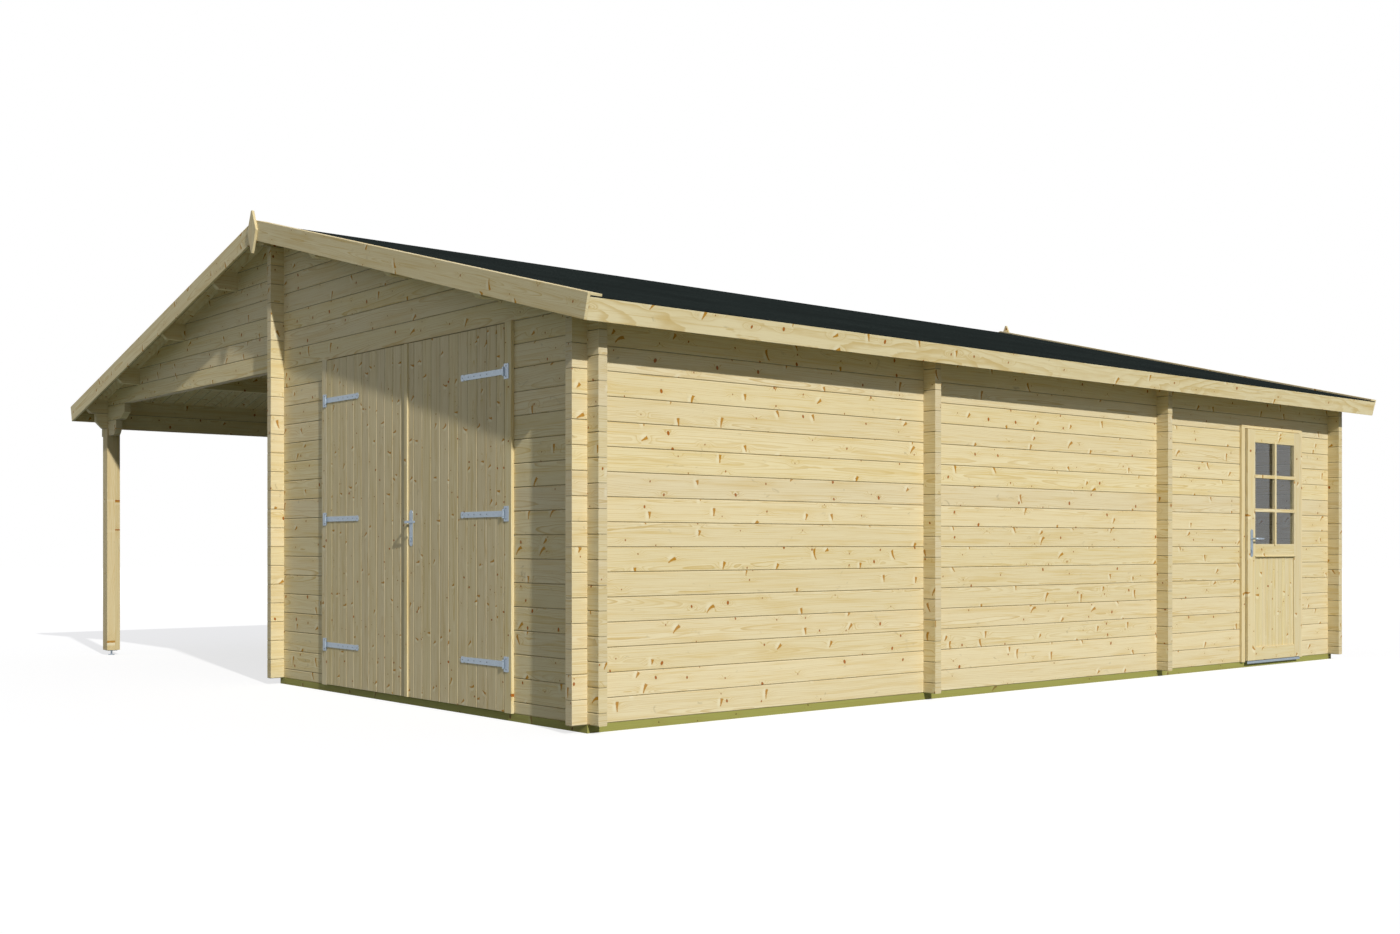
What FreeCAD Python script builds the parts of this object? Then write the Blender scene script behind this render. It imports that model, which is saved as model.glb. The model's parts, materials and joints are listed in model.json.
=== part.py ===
import FreeCAD, Part
import math
import os
import re
import Sketcher
from FreeCAD import Placement, Rotation, Vector

# Log garage with an open carport under one shallow gable roof.
# Lengths are in millimetres and the slope is in degrees.
# The origin is at ground level below the ridge, at half the length of the building.
# X points across the building to the garage side, Y from the front to the back, Z up.

SIZES = [
    ("log_height", 135), ("log_thickness", 58), ("log_end", 100), ("log_chamfer", 5),
    ("wall_spacing", 3720), ("bay_length", 2685), ("bays", 3), ("foundation_height", 45),
    ("side_courses", 17), ("end_chamfer", 50),
    ("roof_slope", 14.48), ("ridge_height", 3241), ("slope_length", 4174), ("gable_overhang", 215),
    ("roof_board", 19), ("felt_thickness", 7), ("ridge_gap", 1),
    ("strip_thickness", 14), ("strip_width", 73),
    ("barge_height", 140), ("barge_thickness", 18), ("fascia_thickness", 18),
    ("finial_height", 306), ("finial_width", 145), ("finial_thickness", 18),
    ("finial_rise", 106), ("finial_shoulder", 146), ("finial_tip", 16),
    ("post_side", 115), ("post_forward", 14), ("foot_height", 45), ("foot_stem", 16),
    ("foot_disc", 56), ("foot_plate", 80), ("foot_steel", 6),
    ("head_log_long", 435), ("head_log_short", 218), ("head_nose", 57),
    ("head_slant_long", 120), ("head_slant_short", 62), ("beam_chamfer", 60),
    ("door_gap", 6), ("garage_door_width", 2370), ("jamb_face", 70), ("jamb_proud", 20),
    ("jamb_lap", 35), ("stop_lip", 12), ("garage_board", 20), ("board_pitch", 105.5),
    ("board_groove", 5), ("board_joints", 10), ("head_gap", 8),
    ("ledge_thickness", 25), ("ledge_height", 120), ("ledge_inset", 45),
    ("astragal_width", 36), ("astragal_lap", 12), ("astragal_thickness", 11),
    ("strap_low", 278), ("strap_middle", 1135), ("strap_high", 1946),
    ("strap_length", 466), ("strap_width", 34), ("strap_steel", 4), ("strap_tip", 38),
    ("strap_notch", 7), ("strap_flare", 2),
    ("hinge_plate_width", 50), ("hinge_plate_height", 88),
    ("barrel_radius", 7), ("pin_radius", 4), ("pin_clearance", 0.3), ("knuckle_height", 30),
    ("side_door_centre", 3013), ("side_door_width", 987), ("side_door_height", 1943),
    ("side_face", 54), ("side_head_face", 24), ("side_lap", 25), ("side_head_lap", 12),
    ("side_leaf_thickness", 40), ("side_leaf_proud", 21), ("side_sill", 10),
    ("side_stile", 116), ("rail_bottom", 106), ("panel_height", 748), ("rail_middle", 104),
    ("pane_height", 838), ("panel_recess", 12), ("panel_pitch", 53), ("panel_groove", 2),
    ("glass_thickness", 4), ("bar_width", 28), ("bar_lap", 14), ("bar_proud", 7),
    ("threshold_depth", 32), ("threshold_drop", 20), ("threshold_steel", 3),
    ("side_barrel_height", 48), ("side_barrel_offset", 9),
    ("side_hinge_low", 205), ("side_hinge_middle", 960), ("side_hinge_high", 1716),
    ("handle_plate_width", 40), ("handle_plate_height", 226), ("handle_steel", 3),
    ("lever_length", 118), ("lever_height", 18), ("lever_thickness", 9), ("lever_reach", 46),
    ("neck_radius", 8), ("lock_radius", 9), ("lock_drop", 104),
    ("garage_handle_height", 1063), ("garage_handle_inset", 47), ("side_handle_height", 975),
    ("side_handle_inset", 57), ("lever_rise", 37),
]
NAMES = {name for name, number in SIZES}

doc = FreeCAD.newDocument("log_garage_with_carport")
sheet = doc.addObject("Spreadsheet::Sheet", "Sizes")
for row, (name, number) in enumerate(SIZES, start=1):
    sheet.set("A%d" % row, name)
    sheet.set("B%d" % row, str(number))
    sheet.setAlias("B%d" % row, name)
doc.recompute()

# Places that several pieces share, written as sums of the sizes.
BASE = "foundation_height"
HALF_WALL = "(bays*bay_length/2 + log_thickness/2)"
END_LINE = "(bays*bay_length/2)"
HEADER = "((side_courses - 0.5)*log_height)"
ROOF_SIN = "sin(roof_slope*1deg)"
ROOF_COS = "cos(roof_slope*1deg)"
ROOF_TAN = "tan(roof_slope*1deg)"
ROOF_TOP = "(roof_board + felt_thickness + strip_thickness)"
BARGE_BACK = "(%s + gable_overhang - barge_thickness)" % HALF_WALL
BARGE_FRONT = "(%s + gable_overhang)" % HALF_WALL
CROSS_OUT = "(log_end + log_thickness/2)"
LINES = ["-bays*bay_length/2 + %d*bay_length" % line for line in range(4)]
made = {}


def linked(text):
    """Turn a sum of size names into an expression on the spreadsheet."""
    return re.sub(r"[a-z][a-z_]*", lambda word: "Sizes." + word.group(0)
                  if word.group(0) in NAMES else word.group(0), text)


def origin_part(body, role):
    return [item for item in body.Origin.OriginFeatures if item.Role == role][0]


def new_body(label, at=("0", "0", "0"), quarter_turn=False):
    body = doc.addObject("PartDesign::Body", label)
    body.Label = label
    body.AllowCompound = True
    if quarter_turn:
        body.Placement = Placement(Vector(0, 0, 0), Rotation(Vector(0, 0, 1), 90))
    for axis, text in zip("xyz", at):
        body.setExpression("Placement.Base." + axis, linked(text))
    return body


def outline(body, name, plane, points, offset):
    """A closed sketch whose corners are tied to the sizes one by one."""
    sketch = body.newObject("Sketcher::SketchObject", name)
    sketch.AttachmentSupport = [(origin_part(body, plane), "")]
    sketch.MapMode = "FlatFace"
    sketch.setExpression("AttachmentOffset.Base.z", linked(offset))
    count = len(points)
    turn = 2 * math.pi / count
    starts = [Vector(100 * math.cos(turn * k), 100 * math.sin(turn * k), 0) for k in range(count)]
    for k in range(count):
        sketch.addGeometry(Part.LineSegment(starts[k], starts[(k + 1) % count]), False)
    for k in range(count):
        sketch.addConstraint(Sketcher.Constraint("Coincident", k, 2, (k + 1) % count, 1))
    for k, (across, up) in enumerate(points):
        first = sketch.addConstraint(Sketcher.Constraint("DistanceX", -1, 1, k, 1, starts[k].x))
        second = sketch.addConstraint(Sketcher.Constraint("DistanceY", -1, 1, k, 1, starts[k].y))
        sketch.setExpression("Constraints[%d]" % first, linked(across))
        sketch.setExpression("Constraints[%d]" % second, linked(up))
    return sketch


def pad(body, name, plane, points, length, start="0"):
    """Grow an outline from start along the positive direction of the plane's axis."""
    backwards = plane == "XZ_Plane"
    sketch = outline(body, name + "_outline", plane, points, "-(%s)" % start if backwards else start)
    feature = body.newObject("PartDesign::Pad", name)
    feature.Profile = sketch
    feature.setExpression("Length", linked(length))
    feature.Reversed = backwards
    body.Tip = feature
    return feature


def pocket(body, name, plane, points, length, start="0"):
    """Cut an outline from start along the positive direction of the plane's axis."""
    backwards = plane == "XZ_Plane"
    sketch = outline(body, name + "_outline", plane, points, "-(%s)" % start if backwards else start)
    feature = body.newObject("PartDesign::Pocket", name)
    feature.Profile = sketch
    feature.setExpression("Length", linked(length))
    feature.Reversed = not backwards
    body.Tip = feature
    return feature


def repeat(body, feature, axis, spacing, count):
    pattern = body.newObject("PartDesign::LinearPattern", feature.Name + "_row")
    pattern.Originals = [feature]
    pattern.Direction = (origin_part(body, axis), [""])
    pattern.setExpression("Length", linked("(%s)*(%s - 1)" % (spacing, count)))
    pattern.setExpression("Occurrences", linked(count))
    body.Tip = pattern
    return pattern


def rectangle(left, low, right, high):
    return [(left, low), (right, low), (right, high), (left, high)]


def box(label, corner, size):
    """A plain block whose corner and sizes are tied to the spreadsheet."""
    block = doc.addObject("Part::Box", label)
    for axis, text in zip("xyz", corner):
        block.setExpression("Placement.Base." + axis, linked(text))
    for side, text in zip(("Length", "Width", "Height"), size):
        block.setExpression(side, linked(text))
    return block


def rod(label, foot, radius, length, direction=Vector(0, 0, 1)):
    cylinder = doc.addObject("Part::Cylinder", label)
    cylinder.Placement = Placement(Vector(0, 0, 0), Rotation(Vector(0, 0, 1), direction))
    for axis, text in zip("xyz", foot):
        cylinder.setExpression("Placement.Base." + axis, linked(text))
    cylinder.setExpression("Radius", linked(radius))
    cylinder.setExpression("Height", linked(length))
    return cylinder


def prism(label, foot, radius, length, direction=Vector(0, 0, 1), sides=10):
    """A straight piece of a round fitting, drawn with a few flat sides."""
    piece = doc.addObject("Part::Prism", label)
    piece.Polygon = sides
    piece.Placement = Placement(Vector(0, 0, 0), Rotation(Vector(0, 0, 1), direction))
    for axis, text in zip("xyz", foot):
        piece.setExpression("Placement.Base." + axis, linked(text))
    piece.setExpression("Circumradius", linked(radius))
    piece.setExpression("Height", linked(length))
    return piece


def less(label, base, tool):
    result = doc.addObject("Part::Cut", label)
    result.Base = base
    result.Tool = tool
    return result


def joined(label, pieces):
    result = doc.addObject("Part::MultiFuse", label)
    result.Shapes = pieces
    result.Refine = True
    return result


def group(label, pieces):
    result = doc.addObject("Part::Compound", label)
    result.Links = pieces
    return result


def keep(name, thing):
    """Name a finished piece; the name is also its file's name."""
    thing.Label = name
    made[name] = thing


def on_slope(side, along, above):
    """A point of the roof's section: along the slope from the ridge, and above its boards' underside."""
    across = "%d*((%s)*%s + (%s)*%s)" % (side, along, ROOF_COS, above, ROOF_SIN)
    up = "%s + ridge_height - (%s)*%s + (%s)*%s" % (BASE, along, ROOF_SIN, above, ROOF_COS)
    return across, up


def ridge_end(above):
    """Where a layer of the roof meets the upright plane at the ridge."""
    return "(ridge_gap/2 - (%s)*%s)/%s" % (above, ROOF_SIN, ROOF_COS)


# Everything above the underside of the roof boards, taken off the logs that reach the roof.
roof_space = new_body("space_above_the_roof_boards")
FAR = "(2*wall_spacing)"
pad(roof_space, "roof_space", "XZ_Plane", [
    on_slope(-1, FAR, "0"), ("0", "%s + ridge_height" % BASE), on_slope(1, FAR, "0"),
    (FAR, "2*ridge_height"), ("-" + FAR, "2*ridge_height")],
    "2*%s + 2*gable_overhang" % HALF_WALL, "-%s - gable_overhang" % HALF_WALL)


def log_section(low, high):
    """A log's section with its long edges taken off, which leaves the V joints of the wall."""
    face = "log_thickness/2"
    inner = "(log_thickness/2 - log_chamfer)"
    return [("-" + inner, low), (inner, low), (face, low + " + log_chamfer"),
            (face, high + " - log_chamfer"), (inner, high), ("-" + inner, high),
            ("-" + face, high + " - log_chamfer"), ("-" + face, low + " + log_chamfer")]


def log_wall(label, run, start, length, first, courses, crossings):
    """Courses of logs from start along X or Y, notched where logs of the other direction cross.

    Logs along Y lie half a course higher than logs along X, so each of them keeps the middle
    half of its height in a crossing and the notches of both walls fill each other.
    """
    body = new_body(label, (start[0], start[1], BASE), quarter_turn=run == "y")
    if first == "log_height/2":
        pad(body, label + "_sill_log", "YZ_Plane", log_section("0", "log_height/2"), length)
    log = pad(body, label + "_log", "YZ_Plane",
              log_section(first, "%s + log_height" % first), length)
    repeat(body, log, "Z_Axis", "log_height", courses)
    for number, (place, notches) in enumerate(crossings):
        notch = pocket(body, "%s_notch_%d" % (label, number), "XZ_Plane", rectangle(
            "%s - log_thickness/2" % place, "%s - log_height/4" % first,
            "%s + log_thickness/2" % place, "%s + log_height/4" % first),
            "2*log_thickness", "-log_thickness")
        repeat(body, notch, "Z_Axis", "log_height", notches)
    return body


# Beams of treated timber under the walls of the garage
WALL_LENGTH = "2*%s" % HALF_WALL
side_beams = [box("beam_under_ridge_wall", ("-log_thickness/2", "-" + HALF_WALL, "0"),
                  ("log_thickness", WALL_LENGTH, BASE)),
              box("beam_under_right_wall", ("wall_spacing - log_thickness/2", "-" + HALF_WALL, "0"),
                  ("log_thickness", WALL_LENGTH, BASE))]
keep("foundation_side_beams", group("side_beams", side_beams))
end_beams = [box("beam_under_front_wall", ("log_thickness/2", "-" + HALF_WALL, "0"),
                 ("wall_spacing - log_thickness", "log_thickness", BASE)),
             box("beam_under_rear_wall", ("log_thickness/2", HALF_WALL + " - log_thickness", "0"),
                 ("wall_spacing - log_thickness", "log_thickness", BASE))]
keep("foundation_end_beams", group("end_beams", end_beams))

# Walls across the building: a sill of half a log, then whole logs up to the headers
DOOR_CENTRE = "(wall_spacing/2)"
OPENING_LEFT = "(wall_spacing/2 - garage_door_width/2 + jamb_lap)"
OPENING_RIGHT = "(wall_spacing/2 + garage_door_width/2 - jamb_lap)"
HALF = "log_height/2"
keep("front_wall_left", log_wall(
    "front_wall_left", "x", ("-" + CROSS_OUT, "-" + END_LINE), "%s + %s" % (OPENING_LEFT, CROSS_OUT),
    HALF, "side_courses - 1", [(CROSS_OUT, "side_courses")]))
keep("front_wall_right", log_wall(
    "front_wall_right", "x", (OPENING_RIGHT, "-" + END_LINE),
    "wall_spacing + %s - %s" % (CROSS_OUT, OPENING_RIGHT),
    HALF, "side_courses - 1", [("(wall_spacing - %s)" % OPENING_RIGHT, "side_courses")]))
keep("rear_wall", log_wall(
    "rear_wall", "x", ("-" + CROSS_OUT, END_LINE), "wall_spacing + 2*%s" % CROSS_OUT,
    HALF, "side_courses - 1",
    [(CROSS_OUT, "side_courses"), ("(%s + wall_spacing)" % CROSS_OUT, "side_courses")]))

# Walls along the building: whole logs from the beams up
SIDE_LEFT = "(side_door_centre - side_door_width/2 + side_lap)"
SIDE_RIGHT = "(side_door_centre + side_door_width/2 - side_lap)"
SIDE_TOP = "(side_door_height - side_head_lap)"
ALONG = "(%s + log_end)" % HALF_WALL
COLUMN = "side_courses + 1"
right_front = log_wall(
    "right_wall_front_logs", "y", ("wall_spacing", "-" + ALONG), "%s + %s" % (ALONG, SIDE_LEFT),
    "0", "side_courses", [(CROSS_OUT, COLUMN)])
keep("right_wall_front", less("right_wall_front", right_front, roof_space))
right_rear = log_wall(
    "right_wall_rear_logs", "y", ("wall_spacing", SIDE_RIGHT), "%s - %s" % (ALONG, SIDE_RIGHT),
    "0", "side_courses", [("(%s - %s)" % (END_LINE, SIDE_RIGHT), COLUMN)])
keep("right_wall_rear", less("right_wall_rear", right_rear, roof_space))
over_door = log_wall(
    "right_wall_over_door_logs", "y", ("wall_spacing", SIDE_LEFT),
    "side_door_width - 2*side_lap", "(side_courses - 3)*log_height", "3", [])
pocket(over_door, "head_of_the_opening", "XZ_Plane", rectangle(
    "0", "(side_courses - 3)*log_height", "side_door_width - 2*side_lap", SIDE_TOP),
    "2*log_thickness", "-log_thickness")
keep("right_wall_over_door", less("right_wall_over_door", over_door, roof_space))
RIDGE_COURSES = "floor((ridge_height - log_height/2)/log_height)"
keep("ridge_wall", log_wall(
    "ridge_wall", "y", ("0", "-" + ALONG), "2*" + ALONG, "0", RIDGE_COURSES,
    [(CROSS_OUT, RIDGE_COURSES + " + 1"),
     ("(%s + bays*bay_length)" % CROSS_OUT, RIDGE_COURSES + " + 1")]))


def long_log(label, left, low, high, end, chamfer):
    """A log along Y, from end to end, with the lower corners of its ends cut off."""
    body = new_body(label)
    pad(body, label + "_side", "YZ_Plane", [
        ("-" + end, high), ("-" + end, "%s + %s" % (low, chamfer)),
        ("-%s + %s" % (end, chamfer), low), ("%s - %s" % (end, chamfer), low),
        (end, "%s + %s" % (low, chamfer)), (end, high)], "log_thickness", left)
    return body


# The ridge log and three purlins a side, which run out to the barge boards
RIDGE_LOW = "(%s + %s*log_height)" % (BASE, RIDGE_COURSES)
ridge_log = long_log("ridge_log_uncut", "-log_thickness/2", RIDGE_LOW,
                     "%s + ridge_height" % BASE, BARGE_BACK, "end_chamfer")
keep("ridge_log", less("ridge_log", ridge_log, roof_space))
purlins = {}
for side, word in ((-1, "left"), (1, "right")):
    logs = []
    for number, below in enumerate((5.5, 3.5, 1.5), start=1):
        course = "(%s - %s)" % (RIDGE_COURSES, below)
        inner = "((ridge_height - (%s + 1)*log_height)/%s)" % (course, ROOF_TAN)
        left = inner if side > 0 else "-%s - log_thickness" % inner
        low = "(%s + %s*log_height)" % (BASE, course)
        logs.append(long_log("purlin_%s_%d" % (word, number), left, low, low + " + log_height",
                             BARGE_BACK, "end_chamfer"))
    purlins[word] = less("purlins_" + word, group("purlin_group_" + word, logs), roof_space)
    keep("purlins_" + word, purlins[word])

# Gables from the header joint to the roof, over the garage and the carport
GABLE_COURSES = "ceil((ridge_height - %s)/log_height)" % HEADER
slots = joined("purlin_slots", [purlins["left"], purlins["right"], made["ridge_log"]])
for word, line in (("front", "-" + END_LINE), ("rear", END_LINE)):
    wall = log_wall(word + "_gable_logs", "x", ("-wall_spacing - " + CROSS_OUT, line),
                    "2*wall_spacing + 2*" + CROSS_OUT, HEADER, GABLE_COURSES,
                    [(CROSS_OUT, "2"), ("(%s + wall_spacing)" % CROSS_OUT, GABLE_COURSES),
                     ("(%s + 2*wall_spacing)" % CROSS_OUT, "2")])
    trimmed = less(word + "_gable_trimmed", wall, roof_space)
    keep(word + "_gable", less(word + "_gable", trimmed, slots))

# Short log ends on the outer face of the right wall, at the inner bay lines
columns = []
for number, line in enumerate(LINES[1:3]):
    uncut = log_wall("cross_logs_%d_uncut" % number, "x", ("wall_spacing + log_thickness/2", line),
                     "log_end", HALF, "side_courses", [])
    columns.append(less("cross_logs_%d" % number, uncut, roof_space))
keep("cross_logs", group("cross_logs", columns))

# The beam at the open side: two logs, the upper one out to the barge boards
BEAM_LEFT = "(-wall_spacing - log_thickness/2)"
BEAM_LOW = "(%s + (side_courses - 2)*log_height)" % BASE
lower_log = long_log("beam_lower_log", BEAM_LEFT, BEAM_LOW, BEAM_LOW + " + log_height",
                     "(%s + log_end)" % HALF_WALL, "beam_chamfer")
upper_log = long_log("beam_upper_log", BEAM_LEFT, BEAM_LOW + " + log_height",
                     BEAM_LOW + " + 2*log_height", BARGE_BACK, "end_chamfer")
beam_notches = []
for number, line in enumerate(LINES):
    body = new_body("beam_notch_%d" % number, (BEAM_LEFT, line, BEAM_LOW))
    notch = pad(body, "beam_notch_block_%d" % number, "YZ_Plane", rectangle(
        "-log_thickness/2", "-log_height/4", "log_thickness/2", "log_height/4"), "log_thickness")
    repeat(body, notch, "Z_Axis", "log_height", "3" if number in (0, 3) else "2")
    beam_notches.append(body)
beam = less("carport_beam_trimmed", joined("carport_beam_logs", [lower_log, upper_log]), roof_space)
keep("carport_beam", less("carport_beam", beam, group("beam_notches", beam_notches)))

# Two logs across each post head, and the posts with a fork that holds the lower one
head_logs = []
posts = []
feet = []
HEAD_LOW = "(%s + (side_courses - 2.5)*log_height)" % BASE
OUT = "(-wall_spacing - %s)" % CROSS_OUT
IN = "(-wall_spacing + log_thickness/2)"
for number, line in enumerate(LINES):
    body = new_body("head_logs_%d" % number, ("0", line, "0"))
    profile = [(OUT, HEAD_LOW)]
    for reach, slant, low in (("head_log_short", "head_slant_short", HEAD_LOW),
                              ("head_log_long", "head_slant_long", HEAD_LOW + " + log_height")):
        profile += [("%s + %s - %s*%s" % (IN, reach, inward, slant), "%s + %s*head_nose" % (low, up))
                    for inward, up in ((1, 0), (0.58, 0.39), (0.24, 0.88), (0, 1))]
        profile.append(("%s + %s" % (IN, reach), low + " + log_height"))
    profile.append((OUT, HEAD_LOW + " + 2*log_height"))
    pad(body, "head_logs_%d_side" % number, "XZ_Plane", profile, "log_thickness", "-log_thickness/2")
    notch = pocket(body, "head_notch_%d" % number, "XZ_Plane", rectangle(
        BEAM_LEFT, HEAD_LOW + " + 3*log_height/4", BEAM_LEFT + " + log_thickness",
        HEAD_LOW + " + 5*log_height/4"), "2*log_thickness", "-log_thickness")
    repeat(body, notch, "Z_Axis", "log_height", "2")
    head_logs.append(body)
    centre = "(%s + post_side/2 - post_forward - log_thickness/2)" % line
    post = box("post_%d_block" % number, ("-wall_spacing - post_side/2", "%s - post_side/2" % centre,
                                          "foot_height"),
               ("post_side", "post_side", "%s - foot_height" % BEAM_LOW))
    fork = box("post_%d_fork" % number, ("-wall_spacing - post_side", "%s - log_thickness/2" % line,
                                         HEAD_LOW), ("2*post_side", "log_thickness", "log_height"))
    posts.append(less("post_%d" % number, post, fork))
    axis = ("-wall_spacing", centre)
    disc = prism("foot_%d_disc" % number, axis + ("0",), "foot_disc/2", "foot_steel", sides=12)
    stem = prism("foot_%d_stem" % number, axis + ("0",), "foot_stem/2", "foot_height", sides=8)
    plate = box("foot_%d_plate" % number, ("-wall_spacing - foot_plate/2", "%s - foot_plate/2" % centre,
                                           "foot_height - foot_steel"),
                ("foot_plate", "foot_plate", "foot_steel"))
    feet.append(joined("foot_%d" % number, [disc, stem, plate]))
keep("post_head_logs", group("post_head_logs", head_logs))
keep("carport_posts", group("carport_posts", posts))
keep("post_feet", group("post_feet", feet))


def roof_layer(label, side, low, high, front, length, upper=None, lower="slope_length"):
    """A layer or board of one roof slope, from the ridge or from upper down to lower."""
    body = new_body(label)
    pad(body, label + "_section", "XZ_Plane", [
        on_slope(side, upper or ridge_end(low), low), on_slope(side, lower, low),
        on_slope(side, lower, high), on_slope(side, upper or ridge_end(high), high)], length, front)
    return body


# Roof boards, felt, cover strips, barge boards and eave boards
DEPTH = "2*" + BARGE_BACK
BARGE_LOW = "(%s - barge_height)" % ROOF_TOP
FELT_TOP = "(roof_board + felt_thickness)"
strips = []
fascias = []
for side, word in ((-1, "left"), (1, "right")):
    keep("roof_boards_" + word, roof_layer(
        "roof_boards_" + word, side, "0", "roof_board", "-" + BARGE_BACK, DEPTH,
        lower="slope_length - fascia_thickness"))
    keep("roof_felt_" + word, roof_layer(
        "roof_felt_" + word, side, "roof_board", FELT_TOP, "-" + BARGE_BACK, DEPTH))
    strips.append(roof_layer("front_strip_" + word, side, FELT_TOP, ROOF_TOP,
                             "-" + BARGE_BACK, "strip_width"))
    strips.append(roof_layer("rear_strip_" + word, side, FELT_TOP, ROOF_TOP,
                             BARGE_BACK + " - strip_width", "strip_width"))
    fascias.append(roof_layer("fascia_" + word, side, BARGE_LOW, "roof_board", "-" + BARGE_BACK,
                              DEPTH, upper="slope_length - fascia_thickness"))
keep("cover_strips", group("cover_strips", strips))
keep("eave_boards", group("eave_boards", fascias))
for word, front in (("front", "-" + BARGE_FRONT), ("rear", BARGE_BACK)):
    boards = [roof_layer("%s_barge_%d" % (word, side), side, BARGE_LOW, ROOF_TOP, front,
                         "barge_thickness") for side in (-1, 1)]
    keep(word + "_barge_boards", group(word + "_barge_boards", boards))

# Diamond boards over the joint of the barge boards
finials = []
FINIAL_TOP = "(%s + ridge_height + finial_rise)" % BASE
for word, front in (("front", "-%s - finial_thickness" % BARGE_FRONT), ("rear", BARGE_FRONT)):
    body = new_body(word + "_finial")
    pad(body, word + "_finial_board", "XZ_Plane", [
        ("-finial_tip/2", FINIAL_TOP), ("-finial_width/2", FINIAL_TOP + " - finial_shoulder"),
        ("-finial_tip/2", FINIAL_TOP + " - finial_height"),
        ("finial_tip/2", FINIAL_TOP + " - finial_height"),
        ("finial_width/2", FINIAL_TOP + " - finial_shoulder"), ("finial_tip/2", FINIAL_TOP)],
        "finial_thickness", front)
    finials.append(body)
keep("finials", group("finials", finials))

# Garage door: jambs lapped over the log ends, and two leaves of upright boards
FRONT = "(-%s)" % HALF_WALL
JAMB_TOP = "(%s + %s)" % (BASE, HEADER)
jambs = []
for side, word in ((-1, "left"), (1, "right")):
    edge = "(%s + %d*garage_door_width/2)" % (DOOR_CENTRE, side)
    body = new_body("garage_jamb_" + word)
    section = [("0", "-jamb_proud"), ("jamb_face", "-jamb_proud"),
               ("jamb_face", "-jamb_proud + garage_board + door_gap"),
               ("jamb_face + stop_lip", "-jamb_proud + garage_board + door_gap"),
               ("jamb_face + stop_lip", "log_thickness"), ("jamb_lap", "log_thickness"),
               ("jamb_lap", "0"), ("0", "0")]
    pad(body, "garage_jamb_%s_section" % word, "XY_Plane",
        [("%s - %d*(%s)" % (edge, side, inward), "%s + %s" % (FRONT, back))
         for inward, back in section], HEADER, BASE)
    jambs.append(body)
keep("garage_door_jambs", group("garage_door_jambs", jambs))

LEAF_WIDTH = "(garage_door_width/2 - jamb_face - 1.5*door_gap)"
LEAF_HEIGHT = "(%s - door_gap - head_gap)" % HEADER
LEAF_FRONT = "(%s - jamb_proud)" % FRONT
LEAF_FOOT = "(%s + door_gap)" % BASE
for side, word in ((-1, "left"), (1, "right")):
    centre = "(%s + %d*(%s/2 + door_gap/2))" % (DOOR_CENTRE, side, LEAF_WIDTH)
    leaf = new_body("garage_leaf_" + word, (centre, LEAF_FRONT, LEAF_FOOT))
    pad(leaf, "garage_boards_" + word, "XY_Plane", rectangle(
        "-%s/2" % LEAF_WIDTH, "0", "%s/2" % LEAF_WIDTH, "garage_board"), LEAF_HEIGHT)
    joint = "(-board_pitch*(board_joints - 1)/2)"
    groove = pocket(leaf, "garage_groove_" + word, "XY_Plane", [
        (joint + " - board_groove", "0"), (joint + " + board_groove", "0"), (joint, "board_groove")],
        LEAF_HEIGHT)
    repeat(leaf, groove, "X_Axis", "board_pitch", "board_joints")
    for name in ("strap_low", "strap_middle", "strap_high"):
        pad(leaf, "ledge_%s_%s" % (name, word), "XZ_Plane", rectangle(
            "-%s/2 + ledge_inset" % LEAF_WIDTH, "%s - door_gap - ledge_height/2" % name,
            "%s/2 - ledge_inset" % LEAF_WIDTH, "%s - door_gap + ledge_height/2" % name),
            "ledge_thickness", "garage_board")
    keep("garage_door_" + word, leaf)
astragal = new_body("astragal", (DOOR_CENTRE + " + door_gap/2", LEAF_FRONT, LEAF_FOOT))
pad(astragal, "astragal_section", "XY_Plane", [
    ("0", "0"), ("astragal_lap", "0"), ("astragal_lap", "-astragal_thickness"),
    ("astragal_lap - astragal_width", "-astragal_thickness"),
    ("astragal_lap - astragal_width", "-door_gap"),
    ("0", "-door_gap")], LEAF_HEIGHT)
keep("garage_door_astragal", astragal)

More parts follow.
